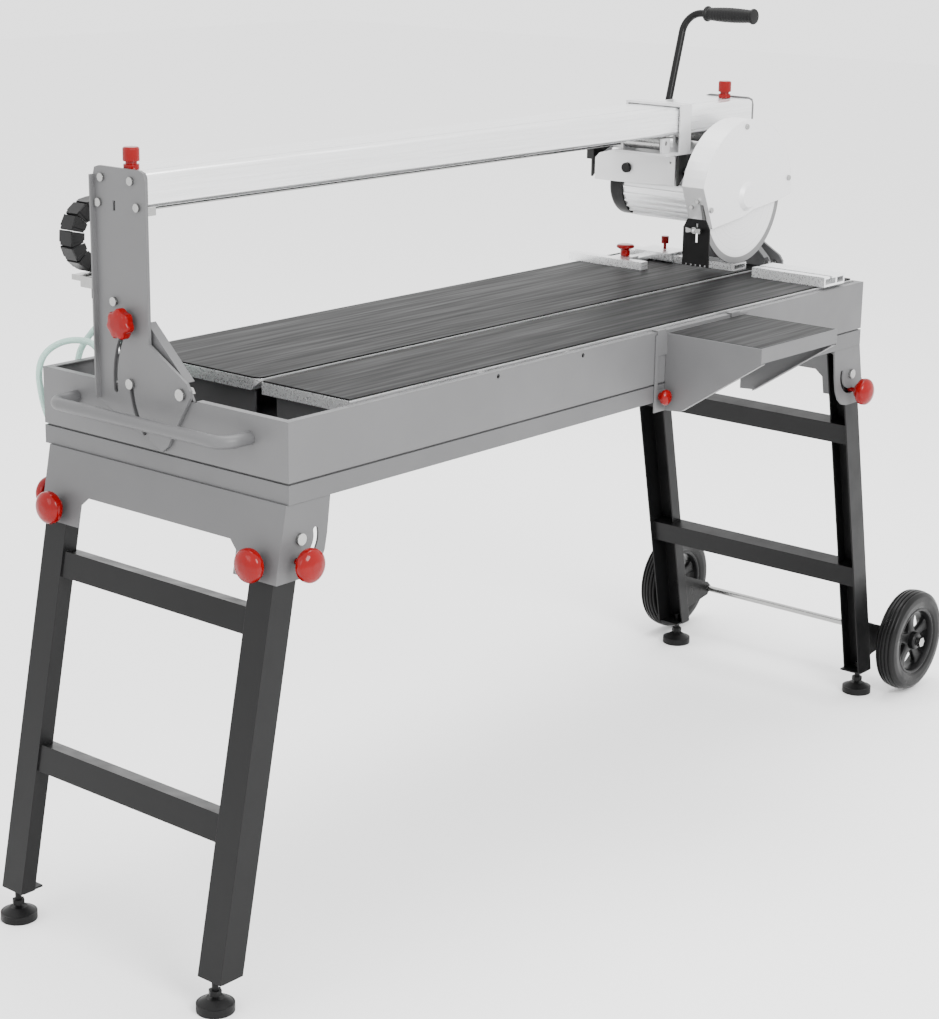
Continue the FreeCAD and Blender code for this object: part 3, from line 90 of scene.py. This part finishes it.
# ---- materials ------------------------------------------------------------------
class Finish:
    """A procedural material on the row frame's own coordinates."""

    def __init__(self, name, colour, rough, metal=0.0, edge=0.0):
        self.mat = bpy.data.materials.new(name)
        self.mat.use_nodes = True
        self.tree = self.mat.node_tree
        self.shader = self.tree.nodes["Principled BSDF"]
        self.shader.inputs["Base Color"].default_value = (*colour, 1)
        self.shader.inputs["Roughness"].default_value = rough
        self.shader.inputs["Metallic"].default_value = metal
        self.colour = colour
        self.coords = self.tree.nodes.new("ShaderNodeTexCoord")
        self.normal = None
        if edge:
            bevel = self.tree.nodes.new("ShaderNodeBevel")
            bevel.samples = 4
            bevel.inputs["Radius"].default_value = edge
            self.normal = bevel.outputs["Normal"]
            self.link(self.normal, self.shader.inputs["Normal"])

    def link(self, output, socket):
        self.tree.links.new(output, socket)

    def noise(self, scale, stretch=(1, 1, 1), detail=3.0):
        mapping = self.tree.nodes.new("ShaderNodeMapping")
        mapping.inputs["Scale"].default_value = stretch
        self.link(self.coords.outputs["Object"], mapping.inputs["Vector"])
        texture = self.tree.nodes.new("ShaderNodeTexNoise")
        texture.inputs["Scale"].default_value = scale
        texture.inputs["Detail"].default_value = detail
        self.link(mapping.outputs["Vector"], texture.inputs["Vector"])
        return texture.outputs["Fac"]

    def span(self, value, low, high, start=0.3, end=0.7):
        """The value from start to end, stretched to run from low to high."""
        node = self.tree.nodes.new("ShaderNodeMapRange")
        self.link(value, node.inputs["Value"])
        for name, number in (("From Min", start), ("From Max", end), ("To Min", low), ("To Max", high)):
            node.inputs[name].default_value = number
        return node.outputs["Result"]

    def tint(self, value, dark, light):
        """The colour times dark where the value is 0, and times light where it is 1."""
        ramp = self.tree.nodes.new("ShaderNodeMix")
        ramp.data_type = "RGBA"
        self.link(value, ramp.inputs["Factor"])
        ramp.inputs[6].default_value = (*[c * dark for c in self.colour], 1)
        ramp.inputs[7].default_value = (*[c * light for c in self.colour], 1)
        self.link(ramp.outputs[2], self.shader.inputs["Base Color"])
        return self

    def shine(self, value, low, high):
        self.link(self.span(value, low, high), self.shader.inputs["Roughness"])
        return self

    def bumps(self, value, depth, strength=1.0):
        node = self.tree.nodes.new("ShaderNodeBump")
        node.inputs["Strength"].default_value = strength
        node.inputs["Distance"].default_value = depth
        self.link(value, node.inputs["Height"])
        if self.normal is not None:
            self.link(self.normal, node.inputs["Normal"])
        self.normal = node.outputs["Normal"]
        self.link(self.normal, self.shader.inputs["Normal"])
        return self


def powder(name, grey, rough, edge=0.0012, level=0.4):
    """Baked powder coat: fine orange peel, slow changes of shine and tone."""
    f = Finish(name, grey, rough, 0.0, edge)
    f.shader.inputs["Specular IOR Level"].default_value = level
    f.bumps(f.noise(900, detail=2), 0.00010, 0.5)
    slow = f.noise(5, detail=4)
    f.tint(f.span(slow, 0, 1), 0.94, 1.05)
    f.shine(f.noise(22), rough - 0.06, rough + 0.08)
    return f


def extrusion(name, grey, rough, stretch, edge=0.0005, metal=0.8):
    """Satin metal with fine drawing lines along one way."""
    f = Finish(name, grey, rough, metal, edge)
    lines = f.noise(60, stretch, detail=5)
    f.tint(f.span(lines, 0, 1), 0.94, 1.05)
    f.shine(lines, rough - 0.05, rough + 0.08)
    f.bumps(lines, 0.00002, 0.2)
    return f


def make_materials():
    made = {
        "tray_grey": powder("tray_grey", (0.094, 0.094, 0.096), 0.42),
        "frame_grey": powder("frame_grey", (0.078, 0.078, 0.080), 0.42),
        "upright_grey": powder("upright_grey", (0.094, 0.094, 0.096), 0.40),
        "leg_black": powder("leg_black", (0.0050, 0.0050, 0.0052), 0.34, level=0.16),
        "black_steel": powder("black_steel", (0.0035, 0.0035, 0.0036), 0.28, level=0.16),
        "aluminium": extrusion("aluminium", (0.86, 0.865, 0.87), 0.28, (0.12, 5, 5), metal=0.85),
        "motor_alu": extrusion("motor_alu", (0.92, 0.925, 0.93), 0.36, (4, 0.4, 4), metal=0.6),
        "zinc": extrusion("zinc", (0.36, 0.36, 0.355), 0.22, (3, 3, 3), 0.0004, 1.0),
    }
    f = Finish("guard_silver", (0.74, 0.74, 0.745), 0.34, 0.3, 0.0015)
    f.bumps(f.noise(1500, detail=1), 0.00004, 0.25)
    f.shine(f.noise(18), 0.30, 0.44)
    f.tint(f.span(f.noise(2600, detail=0), 0, 1), 0.95, 1.04)
    made["guard_silver"] = f
    f = Finish("red_plastic", (0.165, 0.0, 0.0005), 0.18, 0.0)
    f.shader.inputs["Specular IOR Level"].default_value = 0.22
    f.shine(f.noise(60), 0.10, 0.20)
    f.bumps(f.noise(240, detail=1), 0.00006, 0.25)
    f.tint(f.span(f.noise(45), 0, 1), 0.90, 1.06)
    made["red_plastic"] = f
    f = Finish("mat_rubber", (0.0030, 0.0030, 0.0031), 0.50, 0.0, 0.0006)
    f.shader.inputs["Specular IOR Level"].default_value = 0.13
    streaks = f.noise(34, (0.10, 3.2, 3.2), detail=6)
    f.tint(f.span(streaks, 0, 1, 0.45, 0.72), 0.6, 2.6)
    f.shine(streaks, 0.60, 0.42)
    f.bumps(streaks, 0.0003, 0.35)
    made["mat_rubber"] = f
    for name, tone, rough in (("black_rubber", 0.004, 0.5), ("tyre", 0.0030, 0.34)):
        f = Finish(name, (tone, tone, tone * 1.03), rough, 0.0, 0.0006)
        f.shader.inputs["Specular IOR Level"].default_value = 0.17
        f.bumps(f.noise(500, detail=3), 0.00015, 0.5)
        f.shine(f.noise(30, detail=4), rough - 0.10, rough + 0.12)
        f.tint(f.span(f.noise(14, detail=5), 0, 1), 0.8, 1.35)
        made[name] = f
    f = Finish("black_plastic", (0.0042, 0.0042, 0.0044), 0.32, 0.0, 0.0006)
    f.shader.inputs["Specular IOR Level"].default_value = 0.2
    f.bumps(f.noise(700, detail=2), 0.00012, 0.5)
    f.shine(f.noise(40), 0.26, 0.44)
    f.tint(f.span(f.noise(10, detail=4), 0, 1), 0.85, 1.25)
    made["black_plastic"] = f
    f = Finish("hose", (0.42, 0.62, 0.55), 0.20)
    f.shader.inputs["Transmission Weight"].default_value = 0.30
    f.shader.inputs["Subsurface Weight"].default_value = 0.20
    f.shader.inputs["Subsurface Radius"].default_value = (0.004, 0.006, 0.005)
    f.shine(f.noise(80), 0.14, 0.28)
    f.tint(f.span(f.noise(30, detail=3), 0, 1), 0.90, 1.06)
    made["hose"] = f
    f = Finish("copper", (0.72, 0.30, 0.13), 0.3, 1.0)
    f.bumps(f.noise(60, (1, 12, 1)), 0.0004, 0.6)
    f.shine(f.noise(50), 0.22, 0.4)
    made["copper"] = f
    made["blade_steel"] = blade_finish()
    made["carriage"] = carriage_finish()
    return {name: finish.mat for name, finish in made.items()}


def blade_finish():
    """Ground disc with fine rings about its own axis, and a darker gritty rim."""
    f = Finish("blade_steel", (0.70, 0.70, 0.705), 0.36, 0.3)
    hub = at(1378, 201, 989)
    parts = f.tree.nodes.new("ShaderNodeSeparateXYZ")
    f.link(f.coords.outputs["Object"], parts.inputs["Vector"])
    squares = []
    for axis, centre in (("X", hub[0]), ("Z", hub[2])):
        shift = f.tree.nodes.new("ShaderNodeMath")
        shift.operation = "SUBTRACT"
        f.link(parts.outputs[axis], shift.inputs[0])
        shift.inputs[1].default_value = centre
        square = f.tree.nodes.new("ShaderNodeMath")
        square.operation = "POWER"
        square.inputs[1].default_value = 2.0
        wide = f.tree.nodes.new("ShaderNodeMath")
        wide.operation = "ABSOLUTE"
        f.link(shift.outputs[0], wide.inputs[0])
        f.link(wide.outputs[0], square.inputs[0])
        squares.append(square.outputs[0])
    total = f.tree.nodes.new("ShaderNodeMath")
    f.link(squares[0], total.inputs[0])
    f.link(squares[1], total.inputs[1])
    radius = f.tree.nodes.new("ShaderNodeMath")
    radius.operation = "SQRT"
    f.link(total.outputs[0], radius.inputs[0])
    rings = f.tree.nodes.new("ShaderNodeTexNoise")
    rings.noise_dimensions = "1D"
    rings.inputs["Scale"].default_value = 900.0
    f.link(radius.outputs[0], rings.inputs["W"])
    f.shine(rings.outputs["Fac"], 0.26, 0.42)
    f.bumps(rings.outputs["Fac"], 0.00004, 0.3)
    f.tint(f.span(radius.outputs[0], 1, 0, 0.1125, 0.1135), 0.22, 1.0)
    return f


def carriage_finish():
    """Bright strap, floor and roller cheeks; black side plates below them."""
    f = Finish("carriage", (0.62, 0.62, 0.625), 0.32, 0.5, 0.0008)
    f.bumps(f.noise(900, detail=2), 0.00006, 0.4)
    parts = f.tree.nodes.new("ShaderNodeSeparateXYZ")
    f.link(f.coords.outputs["Object"], parts.inputs["Vector"])
    f.tint(f.span(parts.outputs["Z"], 0, 1, 1.0655, 1.0659), 0.012, 1.0)
    f.shine(f.noise(40), 0.26, 0.42)
    return f


materials = make_materials()
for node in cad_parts.values():
    for place in node.material_slots:
        place.material = materials[place.material.name.split(".")[0]]
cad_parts["carriage_frame"].material_slots[0].material = materials["carriage"]


# ---- surfaces -------------------------------------------------------------------
SHARP_ANGLE = math.radians(38.0)


def shape(name, pieces, body, slot):
    """One mesh from several (points, faces) pieces, riding on a body, in a slot's finish."""
    points, faces, count = [], [], 0
    for pts, fcs in pieces:
        points.append(np.asarray(pts, float))
        faces += [[i + count for i in f] for f in fcs]
        count += len(pts)
    mesh = bpy.data.meshes.new(name)
    mesh.from_pydata(np.vstack(points).tolist(), [], faces)
    mesh.validate()
    mesh.polygons.foreach_set("use_smooth", [True] * len(mesh.polygons))
    mesh.set_sharp_from_angle(angle=SHARP_ANGLE)
    mesh.materials.append(materials[slot])
    mesh.update()
    obj = bpy.data.objects.new(name, mesh)
    bpy.context.scene.collection.objects.link(obj)
    if body:
        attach(obj, body)
    return obj


def soften(profile, size, steps=4):
    """A polyline of (t, r, lobe) with its inner corners cut to short curves."""
    pts = [np.array([*p, 0.0][:3] if len(p) == 2 else p, float) for p in profile]
    out = [pts[0]]
    for a, b, c in zip(pts, pts[1:], pts[2:]):
        la, lc = np.linalg.norm(a[:2] - b[:2]), np.linalg.norm(c[:2] - b[:2])
        cut = min(size, 0.45 * la, 0.45 * lc)
        p, q = b + (a - b) * cut / la, b + (c - b) * cut / lc
        for k in range(steps + 1):
            s = k / steps
            out.append((1 - s) ** 2 * p + 2 * s * (1 - s) * b + s * s * q)
    return out + [pts[-1]]


def lathe(centre, axis, profile, around=64, lobes=0, depth=0.0):
    """r(t, a) = r(t) * (1 + depth * lobe(t) * cos(lobes * a)) turned about an axis through the centre.

    The profile runs along the axis in millimetres; a radius of 0 closes an end."""
    axis = np.array(axis, float)
    side = np.array([0, 0, 1.0]) if abs(axis[2]) < 0.5 else np.array([1.0, 0, 0])
    other = np.cross(axis, side)
    base = at(*centre)
    points, rows = [], []
    for t, r, w in profile:
        if r <= 1e-6:
            rows.append([len(points)] * around)
            points.append(base + axis * t / 1000)
            continue
        row = []
        for k in range(around):
            a = 2 * math.pi * k / around
            reach = r * (1 + depth * w * math.cos(lobes * a)) / 1000
            row.append(len(points))
            points.append(base + axis * t / 1000 + (side * math.cos(a) + other * math.sin(a)) * reach)
        rows.append(row)
    faces = []
    for low, high in zip(rows, rows[1:]):
        for k in range(around):
            n = (k + 1) % around
            loop = [low[k], low[n], high[n], high[k]]
            faces.append([v for i, v in enumerate(loop) if v not in loop[:i]])
    return points, [f for f in faces if len(f) > 2]


def block(low, high, soft=0.8, skew=None):
    """A box between two corners in millimetres, its edges chamfered, its points then moved by skew."""
    low, high = np.array(low, float), np.array(high, float)
    centre, half = (low + high) / 2, (high - low) / 2
    points, index = [], {}
    for sx in (-1, 1):
        for sy in (-1, 1):
            for sz in (-1, 1):
                for axis in range(3):
                    sign = np.array([sx, sy, sz], float)
                    p = half - soft
                    p[axis] = half[axis]
                    index[(sx, sy, sz, axis)] = len(points)
                    points.append(centre + sign * p)
    faces = []
    for axis in range(3):
        u, v = [a for a in range(3) if a != axis]
        for s in (-1, 1):
            loop = []
            for a, b in ((-1, -1), (1, -1), (1, 1), (-1, 1)):
                key = [0, 0, 0]
                key[axis], key[u], key[v] = s, a, b
                loop.append(index[(*key, axis)])
            faces.append(loop)
        for a in (-1, 1):
            for b in (-1, 1):
                ends = []
                for s in (-1, 1):
                    key = [0, 0, 0]
                    key[axis], key[u], key[v] = s, a, b
                    ends.append((index[(*key, u)], index[(*key, v)]))
                faces.append([ends[0][0], ends[0][1], ends[1][1], ends[1][0]])
    for sx in (-1, 1):
        for sy in (-1, 1):
            for sz in (-1, 1):
                faces.append([index[(sx, sy, sz, a)] for a in range(3)])
    if skew is not None:
        points = [skew(p) for p in points]
    return [at(*p) for p in points], faces


STAND_MID_X = 745.0
STAND_MID_Y = 251.0


def mirror_pair(centre, axis):
    """The same place on the other side of the stand."""
    return (centre[0], 2 * STAND_MID_Y - centre[1], centre[2]), (axis[0], -axis[1], axis[2])


def mirror_end(centre, axis):
    """The same place at the other end of the stand."""
    return (2 * STAND_MID_X - centre[0], centre[1], centre[2]), (-axis[0], axis[1], axis[2])


# ---- hose ---------------------------------------------------------------------
HOSE = [
    (60, 440, 804), (60, 440, 874), (48, 516, 876), (8, 538, 846), (20, 541, 768), (44, 542, 726),
    (92, 542, 726), (112, 541, 772), (78, 537, 832), (96, 506, 888), (92, 430, 930), (30, 372, 930),
    (14, 346, 895),
]


def make_hose():
    curve = bpy.data.curves.new("pump_hose_soft", "CURVE")
    curve.dimensions = "3D"
    line = curve.splines.new("NURBS")
    line.points.add(len(HOSE) - 1)
    for place, point in zip(line.points, HOSE):
        place.co = (*at(*point), 1.0)
    line.order_u = 3
    line.use_endpoint_u = True
    line.resolution_u = 16
    curve.bevel_depth = 0.005
    curve.bevel_resolution = 6
    curve.use_fill_caps = True
    curve.materials.append(materials["hose"])
    hose = bpy.data.objects.new("pump_hose_soft", curve)
    bpy.context.scene.collection.objects.link(hose)
    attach(hose, "frame")
    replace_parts(hose, "pump_hose")


make_hose()


# ---- knobs ----------------------------------------------------------------------
def lobed(centre, axis):
    """Seven-lobed knob with a domed face, a collar and its stem."""
    profile = soften([
        (-11.5, 0, 0), (-11.5, 4, 0), (-4.6, 4, 0), (-4.6, 11, 0), (0.2, 11, 0), (0.4, 18.6, 0.6),
        (3.0, 21.2, 1), (14.5, 21.4, 1), (18.4, 18.2, 0.8), (19.8, 10, 0.3), (20.0, 0, 0),
    ], 1.6)
    return lathe(centre, axis, profile, 112, 7, 0.07)


def mushroom(centre, axis, radius, height, neck, stem):
    """Round domed cap on a waisted neck, with its screw stem."""
    top = neck + height
    profile = soften([
        (-stem, 0), (-stem, 4), (0.0, 4), (0.0, radius * 0.55), (neck * 0.5, radius * 0.46),
        (neck, radius * 0.6), (neck + 0.4, radius * 0.93), (neck + height * 0.30, radius),
        (neck + height * 0.62, radius * 0.97), (neck + height * 0.86, radius * 0.72),
        (top, radius * 0.30), (top, 0),
    ], radius * 0.16, 5)
    return lathe(centre, axis, profile, 72)


TILT_Y, TILT_Z = 204, 847
STUD_REACH = 139
STUD_ANGLE = math.radians(39.2)
LEAN = math.tan(math.radians(11.3))
LOCK_R, LOCK_H, LOCK_NECK, LOCK_GAP = 25.0, 22.0, 8.0, 3.2
LOCK_Z = 639.0
FACE_X, FACE_TOP = -3.2, 723
TABLE_SEAT = 858.0


def make_knobs():
    y = TILT_Y + STUD_REACH * math.cos(STUD_ANGLE)
    z = TILT_Z + STUD_REACH * math.sin(STUD_ANGLE)
    for side, x, way in (("left", -12.0, -1), ("right", 1516.0, 1)):
        name = f"tilt_knob_{side}"
        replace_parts(shape(name + "_soft", [lobed((x, y, z), (way, 0, 0))], name, "red_plastic"), name)
    end = ((FACE_X - LEAN * (FACE_TOP - LOCK_Z) - LOCK_GAP, 39.0, LOCK_Z), (-1, 0, 0))
    flank = ((16.0, -9.0, 640.0), (0, -1, 0))
    ends = []
    for spot in (end, mirror_pair(*end)):
        for place in (spot, mirror_end(*spot)):
            ends.append(mushroom(*place, LOCK_R, LOCK_H, LOCK_NECK, 1.9))
    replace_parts(shape("end_locks_soft", ends, "frame", "red_plastic"), "end_locks")
    for side, turned in (("left", False), ("right", True)):
        pair = []
        for spot in (flank, mirror_pair(*flank)):
            place = mirror_end(*spot) if turned else spot
            pair.append(mushroom(*place, LOCK_R, LOCK_H, LOCK_NECK, 18.7))
        name = f"side_locks_{side}"
        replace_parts(shape(name + "_soft", pair, name, "red_plastic"), name)
    small = mushroom((857.0, -3.2, 732.0), (0, -1, 0), 13.0, 12.0, 7.0, 2.0)
    knob = shape("side_table_knob_soft", [small], "side_table_knob", "red_plastic")
    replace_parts(knob, "side_table_knob")
    for side, x in (("left", 12.0), ("right", 1481.0)):
        profile = soften([
            (-20, 0, 0), (-20, 4, 0), (0.5, 4, 0), (0.5, 11.4, 0), (8.2, 11.4, 0), (8.2, 8.4, 0),
            (12.0, 8.4, 0), (12.0, 11.7, 0.5), (13.5, 11.8, 1), (30.0, 11.8, 1), (32.0, 10.2, 0.3),
            (32.0, 0, 0),
        ], 1.0)
        name = f"rail_knob_{side}"
        knob = lathe((x, 317.0, 1150.0), (0, 0, 1), profile, 144, 24, 0.016)
        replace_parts(shape(name + "_soft", [knob], name, "red_plastic"), name)
    cap = soften([
        (-8.5, 0), (-8.5, 4), (2.4, 4), (2.4, 9.2), (14.0, 8.4), (17.0, 14.0), (18.2, 16.9),
        (22.0, 16.9), (24.0, 14.0), (24.0, 0),
    ], 1.6)
    pivot = lathe((1312, 412, TABLE_SEAT), (0, 0, 1), cap, 72)
    knob = shape("stop_pivot_knob_soft", [pivot], "stop_pivot_knob", "red_plastic")
    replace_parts(knob, "stop_pivot_knob")
    cap = soften([(0.5, 0), (0.5, 3), (15.0, 3), (15.0, 7.1), (28.4, 7.4), (29.0, 6.4), (29.0, 0)], 1.0)
    slide = lathe((1420, 398, TABLE_SEAT), (0, 0, 1), cap, 48)
    knob = shape("stop_slide_knob_soft", [slide], "stop_slide_knob", "red_plastic")
    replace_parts(knob, "stop_slide_knob")


make_knobs()


def make_grip():
    """Moulded sleeve with a flange at each end and a bulge between shallow ribs."""
    low, high = (np.array(v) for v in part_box("handle_grip"))
    middle = (low + high) / 2 + ORIGIN
    start, end = (low[1] + ORIGIN[1]) * 1000, (high[1] + ORIGIN[1]) * 1000
    length = end - start
    profile = [(0, 0), (0, 13.4), (2.5, 14.4), (5.0, 14.4), (7.0, 11.6)]
    for k in range(29):
        s = k / 28
        bulge = 11.6 + 1.9 * math.sin(math.pi * s)
        profile.append((9 + (length - 18) * s, bulge + (0.35 if k % 2 else -0.2)))
    profile += [
        (length - 7, 11.6), (length - 5, 14.4), (length - 2.5, 14.4), (length, 13.4), (length, 6.9),
        (length - 1.5, 6.9),
    ]
    centre = (middle[0] * 1000, start, middle[2] * 1000)
    grip = lathe(centre, (0, 1, 0), soften(profile, 0.8, 3), 64)
    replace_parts(shape("handle_grip_soft", [grip], "head", "black_rubber"), "handle_grip")


make_grip()


def make_side_mat():
    """Black coated sheet lying on the side table's top, 3 mm in from its edges."""
    sheet = block((875.0, -183.0, 835.0), (1095.0, -4.0, 835.6), 0.25)
    shape("side_table_mat", [sheet], "side_table", "mat_rubber")


make_side_mat()


# ---- wheels ---------------------------------------------------------------------
AXLE_X, AXLE_Z = 1690, 104


def wheel_pieces(y):
    """Ribbed tyre, rim barrel, hub and five waisted spokes about the wheel's axle."""
    half = 21.0
    outer = [(-half + 4, 66), (-half + 1.6, 70), (-half, 80), (-half + 0.6, 90), (-half + 4.5, 96.6)]
    for t in (-11.4, -3.8, 3.8, 11.4):
        crown = 99.6 - 0.012 * t * t
        outer += [(t - 1.7, crown), (t - 0.8, crown - 2.8), (t + 0.8, crown - 2.8), (t + 1.7, crown)]
    outer += [(half - 4.5, 96.6), (half - 0.6, 90), (half, 80), (half - 1.6, 70), (half - 4, 66)]
    tyre_profile = soften(outer, 1.3, 3)
    tyre = lathe((AXLE_X, y, AXLE_Z), (0, 1, 0), tyre_profile + [tyre_profile[0]], 120)
    rim = [(-17, 66.5), (-18.2, 63.5), (-17, 60.5), (-10, 58.5), (0, 57.5), (10, 58.5), (17, 60.5)]
    rim += [(18.2, 63.5), (17, 66.5)]
    rim_profile = soften(rim, 1.2, 3)
    barrel = lathe((AXLE_X, y, AXLE_Z), (0, 1, 0), rim_profile + [rim_profile[0]], 120)
    hub_profile = soften([
        (-21, 6.2), (-21, 14), (-18, 16.8), (-9, 17.4), (9, 17.4), (18, 16.8), (21, 14), (21, 6.2),
    ], 1.5)
    hub = lathe((AXLE_X, y, AXLE_Z), (0, 1, 0), hub_profile + [hub_profile[0]], 64)
    spokes = [spoke(y, 2 * math.pi * k / 5) for k in range(5)]
    return [tyre], [barrel, hub] + spokes


def spoke(y, turn, along=14, around=24):
    """|u/w|^4 + |v/h|^4 = 1 swept from the hub to the rim, w and h smallest in the middle."""
    points, faces = [], []
    for i in range(along + 1):
        s = i / along
        reach = 15.0 + 44.0 * s
        wide = 9.0 + 7.0 * (2 * s - 1) ** 4 + 1.5 * s
        deep = 8.5 - 2.6 * math.sin(math.pi * s)
        for k in range(around):
            a = 2 * math.pi * k / around
            u = wide * math.copysign(abs(math.cos(a)) ** 0.5, math.cos(a))
            v = deep * math.copysign(abs(math.sin(a)) ** 0.5, math.sin(a))
            x = u * math.cos(turn) + reach * math.sin(turn)
            z = -u * math.sin(turn) + reach * math.cos(turn)
            points.append(at(AXLE_X + x, y + v, AXLE_Z + z))
    for i in range(along):
        for k in range(around):
            n = (k + 1) % around
            faces.append([i * around + k, i * around + n, (i + 1) * around + n, (i + 1) * around + k])
    return points, faces


def make_wheels():
    for name, y in (("wheel_front", -32.0), ("wheel_back", 534.0)):
        tyre, rim = wheel_pieces(y)
        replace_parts(shape(name + "_tyre", tyre, name, "tyre"), name)
        shape(name + "_rim", rim, name, "black_plastic")


make_wheels()


# ---- cable carrier ----------------------------------------------------------------
CHAIN_X, CHAIN_Z, CHAIN_OUT, CHAIN_IN, CHAIN_END = 31.0, 1044.0, 55.0, 30.0, 1294.0
LOOP_LINKS = 7
PITCH_MM = CHAIN_OUT * math.pi / LOOP_LINKS
BAND_SLICES = 40


def bend_to_loop(p):
    """The run along x is rolled round the loop: x is arc length at the outer radius, z its depth."""
    angle = math.pi / 2 + p[0] / CHAIN_OUT
    radius = CHAIN_IN + p[2]
    return np.array([CHAIN_X + radius * math.cos(angle), p[1], CHAIN_Z + radius * math.sin(angle)])


def link(x, place):
    """One link: a crossbar above and below, and a pair of stepped side plates."""
    deep = CHAIN_OUT - CHAIN_IN
    make = lambda a, b, s=0.7: block(a, b, s, place)
    out = [make((x + 1.6, 410.5, deep - 2.6), (x + PITCH_MM - 1.6, 435.5, deep - 0.1), 0.5)]
    out.append(make((x + 5, 410.5, 0.2), (x + PITCH_MM - 5, 435.5, 2.4), 0.5))
    for y, way in ((408.0, 1), (438.0, -1)):
        y0, y1 = sorted((y + way * 0.2, y + way * 2.6))
        out.append(make((x + 0.5, y0, 0.6), (x + PITCH_MM - 6.5, y1, deep - 0.6)))
        y0, y1 = sorted((y + way * 1.4, y + way * 3.6))
        out.append(make((x + PITCH_MM - 8, y0, 2.0), (x + PITCH_MM - 0.5, y1, deep - 2.0)))
    return out


def straight(low_z):
    """The run along x is kept straight, lifted to its height."""
    return lambda p: np.array([p[0], p[1], low_z + p[2]])


def make_chain():
    loop = []
    for k in range(LOOP_LINKS):
        loop += link(k * PITCH_MM, bend_to_loop)
    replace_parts(shape("chain_loop_links", loop, "chain", "black_plastic"), "chain_loop")
    upper = []
    count = round((CHAIN_END - CHAIN_X) / PITCH_MM)
    step = (CHAIN_END - CHAIN_X - 0.5) / count
    for k in range(count):
        start = CHAIN_X + 0.5 + k * step
        upper += link(start, straight(CHAIN_Z + CHAIN_IN))
    run = shape("chain_upper_links", upper, "chain", "black_plastic")
    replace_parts(run, "chain_upper")
    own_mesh(run)
    low = CHAIN_Z - CHAIN_OUT
    band = []
    for k in range(BAND_SLICES):
        band.append(block((CHAIN_X + k, 408.2, low + 0.4), (CHAIN_X + k + 1.0, 437.8, low + 24.6), 0.02))
    tail = shape("chain_lower_band", band, None, "black_plastic")
    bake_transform(tail)


make_chain()


# ---- floor and light --------------------------------------------------------------
def make_stage():
    size = 14.0
    mesh = bpy.data.meshes.new("floor")
    below = -0.0005
    corners = [(-size, -size, below), (size, -size, below), (size, size, below), (-size, size, below)]
    mesh.from_pydata(corners, [], [[0, 1, 2, 3]])
    floor = bpy.data.objects.new("floor", mesh)
    bpy.context.scene.collection.objects.link(floor)
    pale = bpy.data.materials.new("floor")
    pale.use_nodes = True
    shader = pale.node_tree.nodes["Principled BSDF"]
    shader.inputs["Base Color"].default_value = (0.96, 0.96, 0.96, 1)
    shader.inputs["Roughness"].default_value = 0.9
    mesh.materials.append(pale)
    world = bpy.data.worlds.new("studio")
    world.use_nodes = True
    sky = world.node_tree.nodes["Background"]
    sky.inputs["Color"].default_value = (1, 1, 1, 1)
    sky.inputs["Strength"].default_value = 2.3
    bpy.context.scene.world = world
    target = Vector((0.0, 0.05, 0.7))
    lamps = (
        ("key", (-1.2, -3.8, 3.2), 2.2, 230.0),
        ("fill", (-4.0, 0.6, 2.2), 2.0, 30.0),
        ("top", (0.6, 0.4, 4.2), 2.4, 120.0),
    )
    for name, place, wide, power in lamps:
        lamp = bpy.data.lights.new(name, "AREA")
        lamp.shape = "DISK"
        lamp.size = wide
        lamp.energy = power
        holder = bpy.data.objects.new(name, lamp)
        bpy.context.scene.collection.objects.link(holder)
        holder.location = place
        holder.rotation_euler = (target - Vector(place)).to_track_quat("-Z", "Y").to_euler()


make_stage()
